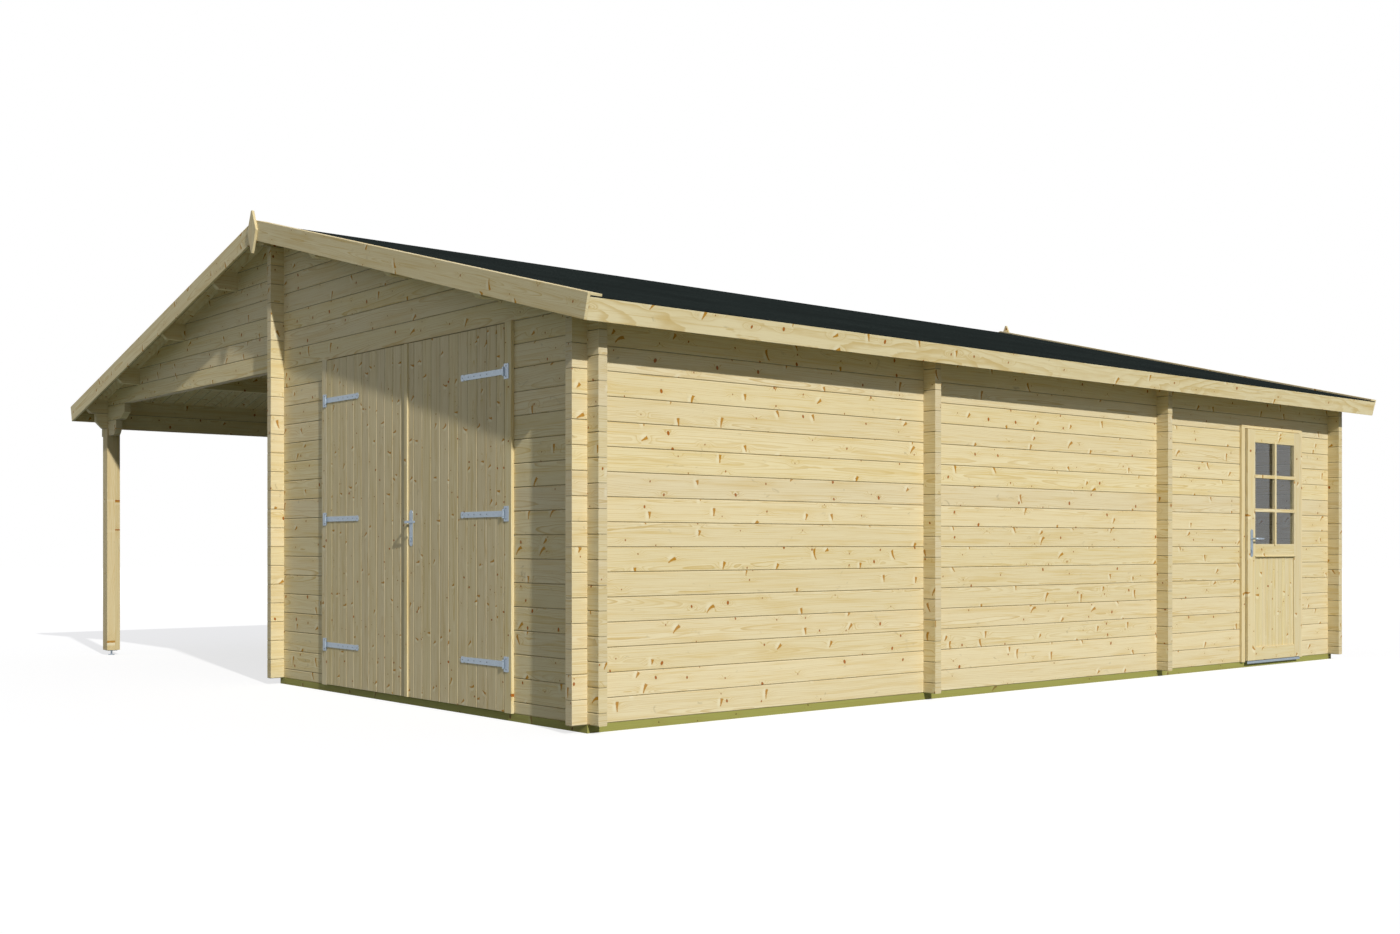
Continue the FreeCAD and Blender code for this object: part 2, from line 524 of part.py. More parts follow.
# Strap hinges: a plate with two knuckles and the pin on the jamb, a strap with one on the leaf
plates = []
PIN_Y = "(%s - barrel_radius)" % LEAF_FRONT
for side, word in ((-1, "left"), (1, "right")):
    pin_x = "(%s + %d*(garage_door_width/2 - jamb_face - door_gap/2))" % (DOOR_CENTRE, side)
    straps = []
    for name in ("strap_low", "strap_middle", "strap_high"):
        tag = "%s_%s" % (name, word)
        height = "(%s + %s)" % (BASE, name)
        slack = "(pin_clearance + 0.2)"
        near = "0" if side > 0 else "-hinge_plate_width"
        plate = box("plate_" + tag, ("%s + %s" % (pin_x, near), LEAF_FRONT + " - strap_steel",
                                     height + " - hinge_plate_height/2"),
                    ("hinge_plate_width", "strap_steel", "hinge_plate_height"))
        window = box("plate_window_" + tag, ("%s - barrel_radius - 2" % pin_x, PIN_Y + " - barrel_radius - 2",
                                             "%s - knuckle_height/2 - %s" % (height, slack)),
                     ("2*barrel_radius + 4", "2*barrel_radius + 4", "knuckle_height + 2*" + slack))
        barrel = prism("barrel_" + tag, (pin_x, PIN_Y, height + " - hinge_plate_height/2"),
                       "barrel_radius", "hinge_plate_height")
        pin = rod("pin_" + tag, (pin_x, PIN_Y, height + " - hinge_plate_height/2"), "pin_radius",
                  "hinge_plate_height")
        outer = less("knuckles_" + tag, joined("plate_and_barrel_" + tag, [plate, barrel]), window)
        plates.append(joined("hinge_half_" + tag, [outer, pin]))
        strap = new_body("strap_" + tag, (pin_x, LEAF_FRONT, height))
        upper = [("0", "strap_width/2"), ("strap_length - strap_tip - strap_notch", "strap_width/2"),
                 ("strap_length - strap_tip", "strap_width/2 - strap_notch"),
                 ("strap_length - strap_tip + strap_notch", "strap_width/2 + strap_flare"),
                 ("strap_length - strap_notch", "strap_width/2 + strap_flare"),
                 ("strap_length", "strap_width/2 - strap_notch")]
        edge = upper + [(reach, "-(%s)" % rise) for reach, rise in reversed(upper)]
        pad(strap, "strap_face_" + tag, "XZ_Plane",
            [("%d*(%s)" % (-side, reach), rise) for reach, rise in edge], "strap_steel", "-strap_steel")
        cheek = box("strap_trim_" + tag, ("%s - barrel_radius - 2" % pin_x, PIN_Y + " - barrel_radius - 2",
                                          height + " - strap_width"),
                    ("2*barrel_radius + 4", "2*barrel_radius + 4", "2*strap_width"))
        knuckle = prism("knuckle_" + tag, (pin_x, PIN_Y, height + " - knuckle_height/2"),
                        "barrel_radius", "knuckle_height")
        neck = box("strap_neck_" + tag, ("%s + %s" % (pin_x, "0" if side < 0 else "-barrel_radius - 2"),
                                         LEAF_FRONT + " - strap_steel", height + " - knuckle_height/2"),
                   ("barrel_radius + 2", "strap_steel", "knuckle_height"))
        bore = prism("strap_bore_" + tag, (pin_x, PIN_Y, height + " - strap_width"),
                     "(pin_radius + pin_clearance)/cos(18deg)", "2*strap_width")
        solid = joined("strap_and_knuckle_" + tag, [less("strap_cut_" + tag, strap, cheek), knuckle, neck])
        straps.append(less("strap_half_" + tag, solid, bore))
    keep("garage_straps_" + word, group("garage_straps_" + word, straps))
keep("garage_hinge_plates", group("garage_hinge_plates", plates))


def handle(label, centre, outward, along):
    """A long plate with a lever that points along the leaf and a lock below it."""
    ox, oy = outward
    ax, ay = along
    x, y, z = centre
    lever_z = "(%s + lever_rise)" % z

    def slab(name, depth0, depth1, reach0, reach1, low, high):
        spans = []
        for out, side in ((ox, ax), (oy, ay)):
            near, far = (depth0, depth1) if out else (reach0, reach1)
            sign = out or side
            start, end = (near, far) if sign > 0 else ("-(%s)" % far, "-(%s)" % near)
            spans.append((start, "(%s) - (%s)" % (end, start)))
        return box(label + name, ("%s + %s" % (x, spans[0][0]), "%s + %s" % (y, spans[1][0]), low),
                   (spans[0][1], spans[1][1], "(%s) - (%s)" % (high, low)))

    plate = slab("_plate", "0", "handle_steel", "-handle_plate_width/2", "handle_plate_width/2",
                 "%s - handle_plate_height/2" % z, "%s + handle_plate_height/2" % z)
    grip = slab("_grip", "lever_reach", "lever_reach + lever_thickness", "-lever_height/2",
                "lever_length", "%s - lever_height/2" % lever_z, "%s + lever_height/2" % lever_z)
    neck = prism(label + "_neck", (x, y, lever_z), "neck_radius", "lever_reach + lever_thickness/2",
                 Vector(ox, oy, 0))
    lock = prism(label + "_lock", (x, y, "%s - lock_drop" % lever_z), "lock_radius", "3*handle_steel",
                 Vector(ox, oy, 0), 12)
    return joined(label, [plate, grip, neck, lock])


keep("garage_door_handle", handle(
    "garage_door_handle", ("(%s + door_gap/2 + garage_handle_inset)" % DOOR_CENTRE, LEAF_FRONT,
                           "(%s + garage_handle_height)" % BASE), (0, -1), (1, 0)))

# Side door: a frame lapped over the log ends and one glazed leaf
WALL_X = "(wall_spacing + log_thickness/2)"
frame_parts = []
for side in (-1, 1):
    edge = "(side_door_centre + %d*side_door_width/2)" % side
    section = [("0", "jamb_proud"), ("side_face", "jamb_proud"),
               ("side_face", "side_leaf_proud + jamb_proud - side_leaf_thickness - door_gap"),
               ("side_face + stop_lip", "side_leaf_proud + jamb_proud - side_leaf_thickness - door_gap"),
               ("side_face + stop_lip", "-log_thickness"), ("side_lap", "-log_thickness"),
               ("side_lap", "0"), ("0", "0")]
    body = new_body("side_jamb_%d" % side)
    pad(body, "side_jamb_section_%d" % side, "XY_Plane",
        [("%s + %s" % (WALL_X, out), "%s - %d*(%s)" % (edge, side, inward)) for inward, out in section],
        "side_door_height", BASE)
    frame_parts.append(body)
head_section = [("0", "jamb_proud"), ("side_head_face", "jamb_proud"),
                ("side_head_face", "side_leaf_proud + jamb_proud - side_leaf_thickness - door_gap"),
                ("side_head_face + stop_lip",
                 "side_leaf_proud + jamb_proud - side_leaf_thickness - door_gap"),
                ("side_head_face + stop_lip", "-log_thickness"), ("side_head_lap", "-log_thickness"),
                ("side_head_lap", "0"), ("0", "0")]
head = new_body("side_head")
pad(head, "side_head_section", "XZ_Plane",
    [("%s + %s" % (WALL_X, out), "%s + side_door_height - (%s)" % (BASE, down))
     for down, out in head_section],
    "side_door_width - 2*side_lap", "side_door_centre - side_door_width/2 + side_lap")
front_head = box("side_head_face_board", (WALL_X, "side_door_centre - side_door_width/2",
                                          "%s + side_door_height - side_head_face" % BASE),
                 ("jamb_proud", "side_door_width", "side_head_face"))
over_the_head = box("log_over_the_side_door", (
    WALL_X + " - log_thickness", "side_door_centre - side_door_width/2", "%s + %s" % (BASE, SIDE_TOP)),
    ("log_thickness", "side_door_width", "side_head_lap"))
frame = joined("side_door_frame_pieces", frame_parts + [head, front_head])
keep("side_door_frame", less("side_door_frame", frame, over_the_head))

SIDE_LEAF_WIDTH = "(side_door_width - 2*side_face - 2*door_gap)"
SIDE_LEAF_HEIGHT = "(side_door_height - side_head_face - door_gap - side_sill)"
SIDE_FRONT = "(%s + jamb_proud + side_leaf_proud)" % WALL_X
SIDE_FOOT = "(%s + side_sill)" % BASE
leaf = new_body("side_leaf", (SIDE_FRONT, "side_door_centre", SIDE_FOOT))
HALF_LEAF = "(%s/2)" % SIDE_LEAF_WIDTH
HALF_PANE = "(%s/2 - side_stile)" % SIDE_LEAF_WIDTH
PANE_LOW = "(rail_bottom + panel_height + rail_middle)"
pad(leaf, "side_leaf_block", "YZ_Plane", rectangle(
    "-" + HALF_LEAF, "0", HALF_LEAF, SIDE_LEAF_HEIGHT), "side_leaf_thickness", "-side_leaf_thickness")
pocket(leaf, "side_pane_opening", "YZ_Plane", rectangle(
    "-" + HALF_PANE, PANE_LOW, HALF_PANE, PANE_LOW + " + pane_height"),
    "side_leaf_thickness", "-side_leaf_thickness")
pocket(leaf, "side_panel_front", "YZ_Plane", rectangle(
    "-" + HALF_PANE, "rail_bottom", HALF_PANE, "rail_bottom + panel_height"),
    "panel_recess", "-panel_recess")
pocket(leaf, "side_panel_back", "YZ_Plane", rectangle(
    "-" + HALF_PANE, "rail_bottom", HALF_PANE, "rail_bottom + panel_height"),
    "panel_recess", "-side_leaf_thickness")
PANEL_JOINTS = "(floor(%s/panel_pitch)*2 - 1)" % HALF_PANE
joint = "(-panel_pitch*(%s - 1)/2)" % PANEL_JOINTS
groove = pocket(leaf, "side_panel_groove", "XY_Plane", [
    ("-panel_recess", joint + " - panel_groove"), ("-panel_recess - panel_groove", joint),
    ("-panel_recess", joint + " + panel_groove")], "panel_height", "rail_bottom")
repeat(leaf, groove, "Y_Axis", "panel_pitch", PANEL_JOINTS)
pad(leaf, "drip_moulding", "XZ_Plane", [
    ("0", "rail_bottom + panel_height - 8"), ("0", "rail_bottom + panel_height + 12"),
    ("14", "rail_bottom + panel_height")], "2*%s + 16" % HALF_PANE, "-%s - 8" % HALF_PANE)
keep("side_door_leaf", leaf)
keep("side_door_glass", box("side_door_glass", (
    SIDE_FRONT + " - side_leaf_thickness/2 - glass_thickness/2", "side_door_centre - " + HALF_PANE,
    "%s + %s" % (SIDE_FOOT, PANE_LOW)), ("glass_thickness", "2*" + HALF_PANE, "pane_height")))
bars = []
GLASS_FRONT = "(side_leaf_thickness/2 - glass_thickness/2)"


def bar(name, left, low, width, height, lapped_y, lapped_z):
    inner = box(name + "_inner", ("%s - %s" % (SIDE_FRONT, GLASS_FRONT), left, low),
                (GLASS_FRONT, width, height))
    outer = box(name + "_outer", (SIDE_FRONT, "%s - %s" % (left, lapped_y), "%s - %s" % (low, lapped_z)),
                ("bar_proud", "%s + 2*%s" % (width, lapped_y), "%s + 2*%s" % (height, lapped_z)))
    return [inner, outer]


bars += bar("upright_bar", "side_door_centre - bar_width/2", "%s + %s" % (SIDE_FOOT, PANE_LOW),
            "bar_width", "pane_height", "0", "bar_lap")
for number in (1, 2):
    bars += bar("level_bar_%d" % number, "side_door_centre - " + HALF_PANE,
                "%s + %s + %d*pane_height/3 - bar_width/2" % (SIDE_FOOT, PANE_LOW, number),
                "2*" + HALF_PANE, "bar_width", "bar_lap", "0")
keep("side_door_bars", joined("side_door_bars", bars))

threshold = new_body("side_threshold")
pad(threshold, "side_threshold_section", "XZ_Plane", [
    (WALL_X + " - log_thickness", BASE), (WALL_X, BASE),
    (WALL_X + " + threshold_depth - threshold_steel", BASE),
    (WALL_X + " + threshold_depth - threshold_steel", BASE + " + side_sill/2 - threshold_drop"),
    (WALL_X + " + threshold_depth", BASE + " + side_sill/2 - threshold_drop"),
    (WALL_X + " + threshold_depth", BASE + " + side_sill/2"),
    (WALL_X + " - log_thickness", BASE + " + side_sill/2")],
    "side_door_width - 2*side_face - 2*stop_lip",
    "side_door_centre - side_door_width/2 + side_face + stop_lip")
keep("side_door_threshold", threshold)

# Three barrel hinges in the corner between the leaf's edge and the frame's face
frame_halves = []
leaf_halves = []
SIDE_PIN_X = "(%s + jamb_proud + barrel_radius)" % WALL_X
LEAF_EDGE = "(side_door_centre + %s)" % HALF_LEAF
SIDE_PIN_Y = "(%s + side_barrel_offset)" % LEAF_EDGE
for name in ("side_hinge_low", "side_hinge_middle", "side_hinge_high"):
    height = "(%s + %s)" % (BASE, name)
    frame_half = prism("frame_knuckle_" + name, (
        SIDE_PIN_X, SIDE_PIN_Y, height + " - side_barrel_height/2"),
        "barrel_radius", "side_barrel_height/2 - pin_clearance/2")
    pin = rod("side_pin_" + name, (SIDE_PIN_X, SIDE_PIN_Y, height + " - side_barrel_height/2"),
              "pin_radius", "side_barrel_height - strap_steel")
    frame_halves.append(joined("frame_half_" + name, [frame_half, pin]))
    top = prism("leaf_knuckle_" + name, (SIDE_PIN_X, SIDE_PIN_Y, height + " + pin_clearance/2"),
                "barrel_radius", "side_barrel_height/2 - pin_clearance/2")
    wing = box("leaf_wing_" + name, (SIDE_PIN_X + " - strap_steel/2", LEAF_EDGE, height + " + pin_clearance/2"),
               ("strap_steel", "side_barrel_offset", "side_barrel_height/2 - pin_clearance/2"))
    bore = prism("leaf_bore_" + name, (SIDE_PIN_X, SIDE_PIN_Y, height),
                 "(pin_radius + pin_clearance)/cos(18deg)",
                 "side_barrel_height/2 - strap_steel + pin_clearance")
    leaf_halves.append(less("leaf_half_" + name, joined("leaf_blank_" + name, [top, wing]), bore))
keep("side_hinge_frame_halves", group("side_hinge_frame_halves", frame_halves))
keep("side_hinge_leaf_halves", group("side_hinge_leaf_halves", leaf_halves))
keep("side_door_handle", handle(
    "side_door_handle", (SIDE_FRONT, "(side_door_centre - %s + side_handle_inset)" % HALF_LEAF,
                         "(%s + side_handle_height)" % BASE), (1, 0), (0, 1)))

doc.recompute()

failed = [item.Label for item in doc.Objects if "Invalid" in item.State or "Error" in item.State]
if failed:
    raise RuntimeError("these pieces did not build: " + ", ".join(failed))
for name, thing in made.items():
    if thing.Shape.isNull() or not thing.Shape.isValid():
        raise RuntimeError("%s has no valid shape" % name)

os.makedirs("parts", exist_ok=True)
for name, thing in made.items():
    thing.Shape.exportStep("parts/%s.step" % name)
    print("%-26s %2d solids %12.0f mm3" % (name, len(thing.Shape.Solids), thing.Shape.Volume))
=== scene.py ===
import json
import math

import bmesh
import bpy
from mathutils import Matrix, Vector

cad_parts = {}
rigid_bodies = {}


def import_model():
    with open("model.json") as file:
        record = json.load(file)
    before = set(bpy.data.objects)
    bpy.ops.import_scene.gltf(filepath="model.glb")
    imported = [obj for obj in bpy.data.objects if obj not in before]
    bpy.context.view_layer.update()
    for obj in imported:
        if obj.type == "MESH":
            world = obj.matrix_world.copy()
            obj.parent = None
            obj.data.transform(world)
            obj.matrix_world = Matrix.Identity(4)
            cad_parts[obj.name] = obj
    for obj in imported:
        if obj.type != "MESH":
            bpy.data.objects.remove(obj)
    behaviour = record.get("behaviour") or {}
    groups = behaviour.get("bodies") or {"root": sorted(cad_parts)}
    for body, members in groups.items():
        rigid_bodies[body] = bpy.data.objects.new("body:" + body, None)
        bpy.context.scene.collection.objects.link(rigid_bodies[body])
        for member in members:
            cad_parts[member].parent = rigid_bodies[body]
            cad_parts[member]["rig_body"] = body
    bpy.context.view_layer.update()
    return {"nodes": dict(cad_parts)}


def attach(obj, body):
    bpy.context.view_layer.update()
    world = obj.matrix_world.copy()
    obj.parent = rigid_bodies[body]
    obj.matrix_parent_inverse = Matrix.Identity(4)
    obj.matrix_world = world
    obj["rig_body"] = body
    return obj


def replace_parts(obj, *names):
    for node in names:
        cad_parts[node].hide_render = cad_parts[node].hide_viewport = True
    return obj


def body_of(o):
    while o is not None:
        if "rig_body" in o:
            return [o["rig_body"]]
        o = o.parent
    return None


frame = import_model()

# Measures of the garage in metres
COURSE = 0.135
WALL_FOOT = 0.045
BAY = 2.685
WALL_SPACING = 3.72
SLOPE_SIN, SLOPE_COS = 0.25004, 0.96823
RIDGE_Z = 3.286
SLOPE_LENGTH = 4.174
ROOF_BOARD, FELT_TOP = 0.019, 0.026
HALF_DEPTH = 4.2535
ROOF_BOARDS = 85
BOARD_PITCH = 2 * HALF_DEPTH / ROOF_BOARDS
BARGE_SPACING = 8.525
PURLIN_X, PURLIN_STEP = 0.817, 1.0455

# The double door
DOOR_MIDDLE_X = 1.86
LEFT_LEAF_X, LEAF_STEP = 1.304, 1.112
DOOR_BOARD = 0.1055
DOOR_GRAIN = 1.4
LEAF_FRONT, LEDGE_FRONT = -4.0765, -4.0560
LEFT_PIN_X, RIGHT_PIN_X = 0.748, 2.972
PIN_RADIUS, KNUCKLE_RADIUS = 0.004, 0.007
STRAP_FACE = -4.0805
STRAP_LENGTH = 0.466
STRAP_LEVELS = (0.323, 1.180, 1.991)
SCREWS_FROM_TIP = (0.018, 0.084, 0.148, 0.218, 0.288)
PLATE_OFF_PIN = 0.0255
PLATE_HALF_WIDE, PLATE_HALF_HIGH = 0.0245, 0.044
PLATE_SCREW_X = (0.723, 2.997)
PLATE_SCREW_RISE = 0.030
SCREW_SIDES = 14

# The side door
SIDE_DOOR_Y = 3.013
STILE_INSIDE, STILE_MIDDLE = 0.3175, 0.375
PANEL_FOOT, PANEL_HEAD = 0.161, 0.909
PANE_FOOT, PANE_HEAD = 1.014, 1.851
PANEL_BOARD = 0.053
FRAME_UPRIGHT = 0.46
HEAD_PIECE_FOOT, HEAD_PIECE_MIDDLE = 1.964, 1.976

# One year's growth of the spruce
RING_WIDTH = 0.0050


class Bench:
    """A node tree with short ways to add and join its nodes."""

    def __init__(self, tree):
        self.tree = tree

    def add(self, kind, **settings):
        item = self.tree.nodes.new(kind)
        for key, value in settings.items():
            setattr(item, key, value)
        return item

    def feed(self, socket, value):
        if isinstance(value, bpy.types.NodeSocket):
            self.tree.links.new(value, socket)
        else:
            socket.default_value = value

    def math(self, operation, a, b=0.0):
        item = self.add("ShaderNodeMath", operation=operation)
        for socket, value in zip(item.inputs, (a, b)):
            self.feed(socket, value)
        return item.outputs[0]

    def plus(self, a, b):
        return self.math("ADD", a, b)

    def minus(self, a, b):
        return self.math("SUBTRACT", a, b)

    def times(self, a, b):
        return self.math("MULTIPLY", a, b)

    def step_between(self, value, low, high, out_low=0.0, out_high=1.0):
        """A smooth rise from out_low to out_high while the value goes from low to high."""
        item = self.add("ShaderNodeMapRange", interpolation_type="SMOOTHSTEP")
        for socket, number in zip(item.inputs, (value, low, high, out_low, out_high)):
            self.feed(socket, number)
        return item.outputs[0]

    def choose(self, mask, a, b):
        """b where the mask is 1, a where it is 0."""
        item = self.add("ShaderNodeMix", data_type="FLOAT", clamp_factor=True)
        self.feed(item.inputs[0], mask)
        self.feed(item.inputs[2], a)
        self.feed(item.inputs[3], b)
        return item.outputs[0]

    def blend(self, mask, a, b, kind="MIX"):
        item = self.add("ShaderNodeMix", data_type="RGBA", blend_type=kind, clamp_factor=True)
        self.feed(item.inputs[0], mask)
        self.feed(item.inputs[6], a)
        self.feed(item.inputs[7], b)
        return item.outputs[2]

    def vector(self, x, y, z):
        item = self.add("ShaderNodeCombineXYZ")
        for socket, value in zip(item.inputs, (x, y, z)):
            self.feed(socket, value)
        return item.outputs[0]

    def split(self, vector):
        item = self.add("ShaderNodeSeparateXYZ")
        self.feed(item.inputs[0], vector)
        return item.outputs[0], item.outputs[1], item.outputs[2]

    def place(self):
        """The place on the object in the frame's own axes."""
        return self.split(self.add("ShaderNodeTexCoord").outputs["Object"])

    def facing(self):
        """The surface's own direction in the object's axes."""
        return self.split(self.add("ShaderNodeTexCoord").outputs["Normal"])

    def noise(self, vector, scale=1.0, detail=2.0, roughness=0.5, output="Fac", distortion=0.0):
        item = self.add("ShaderNodeTexNoise", noise_dimensions="3D")
        self.feed(item.inputs["Vector"], vector)
        item.inputs["Scale"].default_value = scale
        item.inputs["Detail"].default_value = detail
        item.inputs["Roughness"].default_value = roughness
        item.inputs["Distortion"].default_value = distortion
        return item.outputs[output]

    def random(self, number):
        """Three chances between 0 and 1 that belong to the number."""
        item = self.add("ShaderNodeTexWhiteNoise", noise_dimensions="1D")
        self.feed(item.inputs["W"], number)
        split = self.add("ShaderNodeSeparateColor")
        self.feed(split.inputs[0], item.outputs["Color"])
        return split.outputs[0], split.outputs[1], split.outputs[2]


# Grain of sawn spruce: growth rings round a wandering pith, fibres, and knots with bent grain
def knots(n, run, across, board, wide, high, share, shift):
    """One knot at most in each cell: how far off it is, whether it is there, and two chances."""
    cells = n.add("ShaderNodeTexVoronoi", voronoi_dimensions="2D", feature="F1")
    slide = n.times(board, shift)
    shifted = n.plus(n.times(across, high), slide)
    n.feed(cells.inputs["Vector"], n.vector(n.times(run, wide), shifted, 0.0))
    cells.inputs["Scale"].default_value = 1.0
    cells.inputs["Randomness"].default_value = 0.9
    px, py = n.split(cells.outputs["Position"])[:2]
    chances = n.add("ShaderNodeSeparateColor")
    n.feed(chances.inputs[0], cells.outputs["Color"])
    there = n.math("LESS_THAN", chances.outputs[0], share)
    off_along = n.minus(run, n.math("DIVIDE", px, wide))
    off_across = n.minus(across, n.math("DIVIDE", n.minus(py, slide), high))
    return off_along, off_across, there, chances.outputs[1], chances.outputs[2]


def turned(n, along, across, angle):
    """The same offset seen in axes turned by an angle."""
    cosine, sine = n.math("COSINE", angle), n.math("SINE", angle)
    return (n.plus(n.times(along, cosine), n.times(across, sine)),
            n.minus(n.times(across, cosine), n.times(along, sine)))


def ellipse(n, along, across, stretch):
    """How far out an offset lies, with the length along the board counted at another scale."""
    squared = n.plus(n.math("POWER", n.times(along, stretch), 2.0), n.math("POWER", across, 2.0))
    return n.math("SQRT", squared)


def spruce_grain():
    """A group that turns a place on a board into its rings, fibres, knots and stains."""
    tree = bpy.data.node_groups.new("grain of sawn spruce", "ShaderNodeTree")
    for name in ("Along", "Across", "Depth", "Board"):
        tree.interface.new_socket(name, in_out="INPUT", socket_type="NodeSocketFloat")
    for name in ("Rings", "Fibre", "Knot", "Knot rim", "Spike", "Spike highlight", "Halo", "Smudge",
                 "Tone", "Warmth", "Stain", "Streak", "Height"):
        tree.interface.new_socket(name, in_out="OUTPUT", socket_type="NodeSocketFloat")
    n = Bench(tree)
    given = n.add("NodeGroupInput")
    along, across, depth, board = [given.outputs[k] for k in range(4)]
    pith_aside, pith_below, start = n.random(board)
    tone, warmth = n.random(n.plus(board, 71.3))[:2]
    # every board starts at another place of its tree
    run = n.plus(along, n.times(start, 40.0))
    ragged = n.minus(n.noise(n.vector(run, across, board), 190.0, 1.5), 0.5)

    # round knots, red-brown with a dark rim
    du, dv, there, size, lean = knots(n, run, across, board, 3.5, 11.0, 0.52, 3.71)
    u, v = turned(n, du, dv, n.times(n.minus(lean, 0.5), 1.2))
    far = n.plus(ellipse(n, u, v, 1.35), n.times(ragged, 0.0040))
    radius = n.times(n.plus(0.0038, n.times(n.math("POWER", size, 2.4), 0.0092)), there)
    inside = n.minus(far, radius)
    knot = n.step_between(inside, 0.0014, -0.0014)
    rim = n.times(n.step_between(n.math("ABSOLUTE", inside), 0.0022, 0.0004), there)
    halo = n.times(n.step_between(ellipse(n, du, dv, 0.33), 0.034, 0.004), there)

    # knots cut along their branch: an orange spike, with a painted highlight of pale wood colour
    # beside it
    du, dv, there, size, lean = knots(n, run, across, n.plus(board, 13.0), 2.8, 8.0, 0.50, 2.37)
    u, v = turned(n, du, dv, n.plus(1.25, n.times(n.minus(lean, 0.5), 1.7)))
    length = n.plus(0.014, n.times(size, 0.022))
    bend = n.times(n.times(u, u), n.times(n.minus(size, 0.5), 16.0))
    thin = n.step_between(u, n.times(length, -1.0), length, 0.0030, 0.0098)
    over = n.minus(n.math("ABSOLUTE", n.plus(n.plus(v, bend), n.times(ragged, 0.0100))), thin)
    ends = n.step_between(n.math("ABSOLUTE", u), n.times(length, 1.06), n.times(length, 0.90))
    spike = n.times(n.times(n.step_between(over, 0.0022, -0.0014), there), ends)
    beside = ellipse(n, u, n.minus(v, 0.016), 0.55)
    pale = n.times(n.step_between(beside, 0.024, 0.004), there)
    second = n.times(n.step_between(ellipse(n, du, dv, 0.33), 0.040, 0.004), there)
    halo = n.math("MAXIMUM", halo, second)

    # growth rings
    wander = n.noise(n.vector(n.times(run, 0.55), n.times(board, 1.7), 0.0), 1.0, 1.0, 0.5, "Color")
    sway_across, sway_depth = n.split(wander)[:2]
    ripple = n.vector(n.times(run, 3.0), n.times(across, 12.0), n.times(board, 5.3))
    quick = n.minus(n.noise(ripple, 1.0, 3.0), 0.5)
    pith_across = n.plus(n.times(n.minus(pith_aside, 0.5), 0.17),
                         n.times(n.minus(sway_across, 0.5), 0.16))
    pith_depth = n.plus(n.plus(0.026, n.times(pith_below, 0.05)),
                        n.times(n.minus(sway_depth, 0.5), 0.10))
    far = n.math("SQRT", n.plus(n.math("POWER", n.minus(across, pith_across), 2.0),
                                n.math("POWER", n.minus(depth, pith_depth), 2.0)))
    far = n.plus(n.plus(far, n.times(quick, 0.009)), n.times(n.times(halo, halo), 0.015))
    uneven = n.noise(n.vector(far, board, 0.0), 60.0, 1.0)
    count = n.plus(n.math("DIVIDE", far, RING_WIDTH), n.times(uneven, 1.6))
    part = n.math("FRACT", count)
    late = n.times(n.step_between(part, 0.40, 0.92), n.step_between(part, 1.0, 0.93))
    yearly = n.random(n.math("FLOOR", count))[0]
    rings = n.times(late, n.plus(0.25, n.times(n.times(yearly, yearly), 0.75)))

    # fibres, broad streaks and thin resin-coloured lines along the grain
    threads = n.vector(n.times(run, 7.0), n.times(across, 420.0), n.times(depth, 420.0))
    fibre = n.noise(threads, 1.0, 3.0, 0.6)
    bands = n.plus(n.times(across, 24.0), n.times(board, 3.7))
    stain = n.noise(n.vector(n.times(run, 1.3), bands, n.times(depth, 24.0)), 1.0, 2.0, 0.55)
    lines = n.plus(n.times(across, 105.0), n.times(board, 9.1))
    streak = n.noise(n.vector(n.times(run, 2.2), lines, n.times(depth, 80.0)),
                     1.0, 2.0, 0.6, distortion=0.4)
    # grey-brown smudges where a knot lies close under the face
    patches = n.plus(n.times(across, 17.0), n.times(board, 6.1))
    low = n.noise(n.vector(n.times(run, 9.0), patches, n.times(depth, 17.0)),
                  1.0, 3.0, 0.6, distortion=0.8)
    smudge = n.step_between(low, 0.655, 0.80)
    height = n.plus(n.times(rings, 0.45), n.times(n.minus(fibre, 0.5), 0.9))
    height = n.plus(height, n.times(rim, -0.8))
    out = n.add("NodeGroupOutput")
    found = {"Rings": rings, "Fibre": fibre, "Knot": knot, "Knot rim": rim, "Spike": spike,
             "Spike highlight": pale, "Halo": halo, "Smudge": smudge, "Tone": tone, "Warmth": warmth,
             "Stain": stain, "Streak": streak, "Height": height}
    for name, value in found.items():
        n.feed(out.inputs[name], value)
    return tree


GRAIN = spruce_grain()
# In these colour sets the dark groove colour is painted shade for the grooves between logs and
# boards.
SPRUCE = {"early": (0.770, 0.668, 0.422, 1), "late": (0.575, 0.415, 0.165, 1),
          "warm": (0.640, 0.475, 0.190, 1), "pale": (0.830, 0.760, 0.540, 1),
          "knot": (0.370, 0.115, 0.012, 1), "spike": (0.430, 0.200, 0.012, 1),
          "rim": (0.185, 0.090, 0.022, 1), "smudge": (0.340, 0.270, 0.150, 1),
          "painted_groove_shade": (0.180, 0.142, 0.075, 1), "gloss": 0.58, "show": 0.92}
SPRUCE_POST = dict(SPRUCE, early=(0.675, 0.560, 0.320, 1), warm=(0.570, 0.405, 0.155, 1))
SPRUCE_TRIM = dict(SPRUCE, show=0.78, warm=(0.585, 0.420, 0.160, 1))
SPRUCE_DOOR = dict(SPRUCE, show=0.70, early=(0.725, 0.618, 0.385, 1),
                   warm=(0.530, 0.395, 0.160, 1))
SPRUCE_LEAF = dict(SPRUCE, early=(0.715, 0.622, 0.385, 1))
# The dark groove colour here is painted shade too.
TREATED = {"early": (0.330, 0.320, 0.095, 1), "late": (0.200, 0.190, 0.055, 1),
           "warm": (0.290, 0.245, 0.070, 1), "pale": (0.400, 0.385, 0.150, 1),
           "knot": (0.130, 0.070, 0.020, 1), "spike": (0.200, 0.130, 0.040, 1),
           "rim": (0.060, 0.040, 0.015, 1), "smudge": (0.200, 0.190, 0.070, 1),
           "painted_groove_shade": (0.050, 0.050, 0.020, 1), "gloss": 0.64, "show": 0.52}
LOG_END_SHADE = (0.88, 0.88, 0.90, 1)


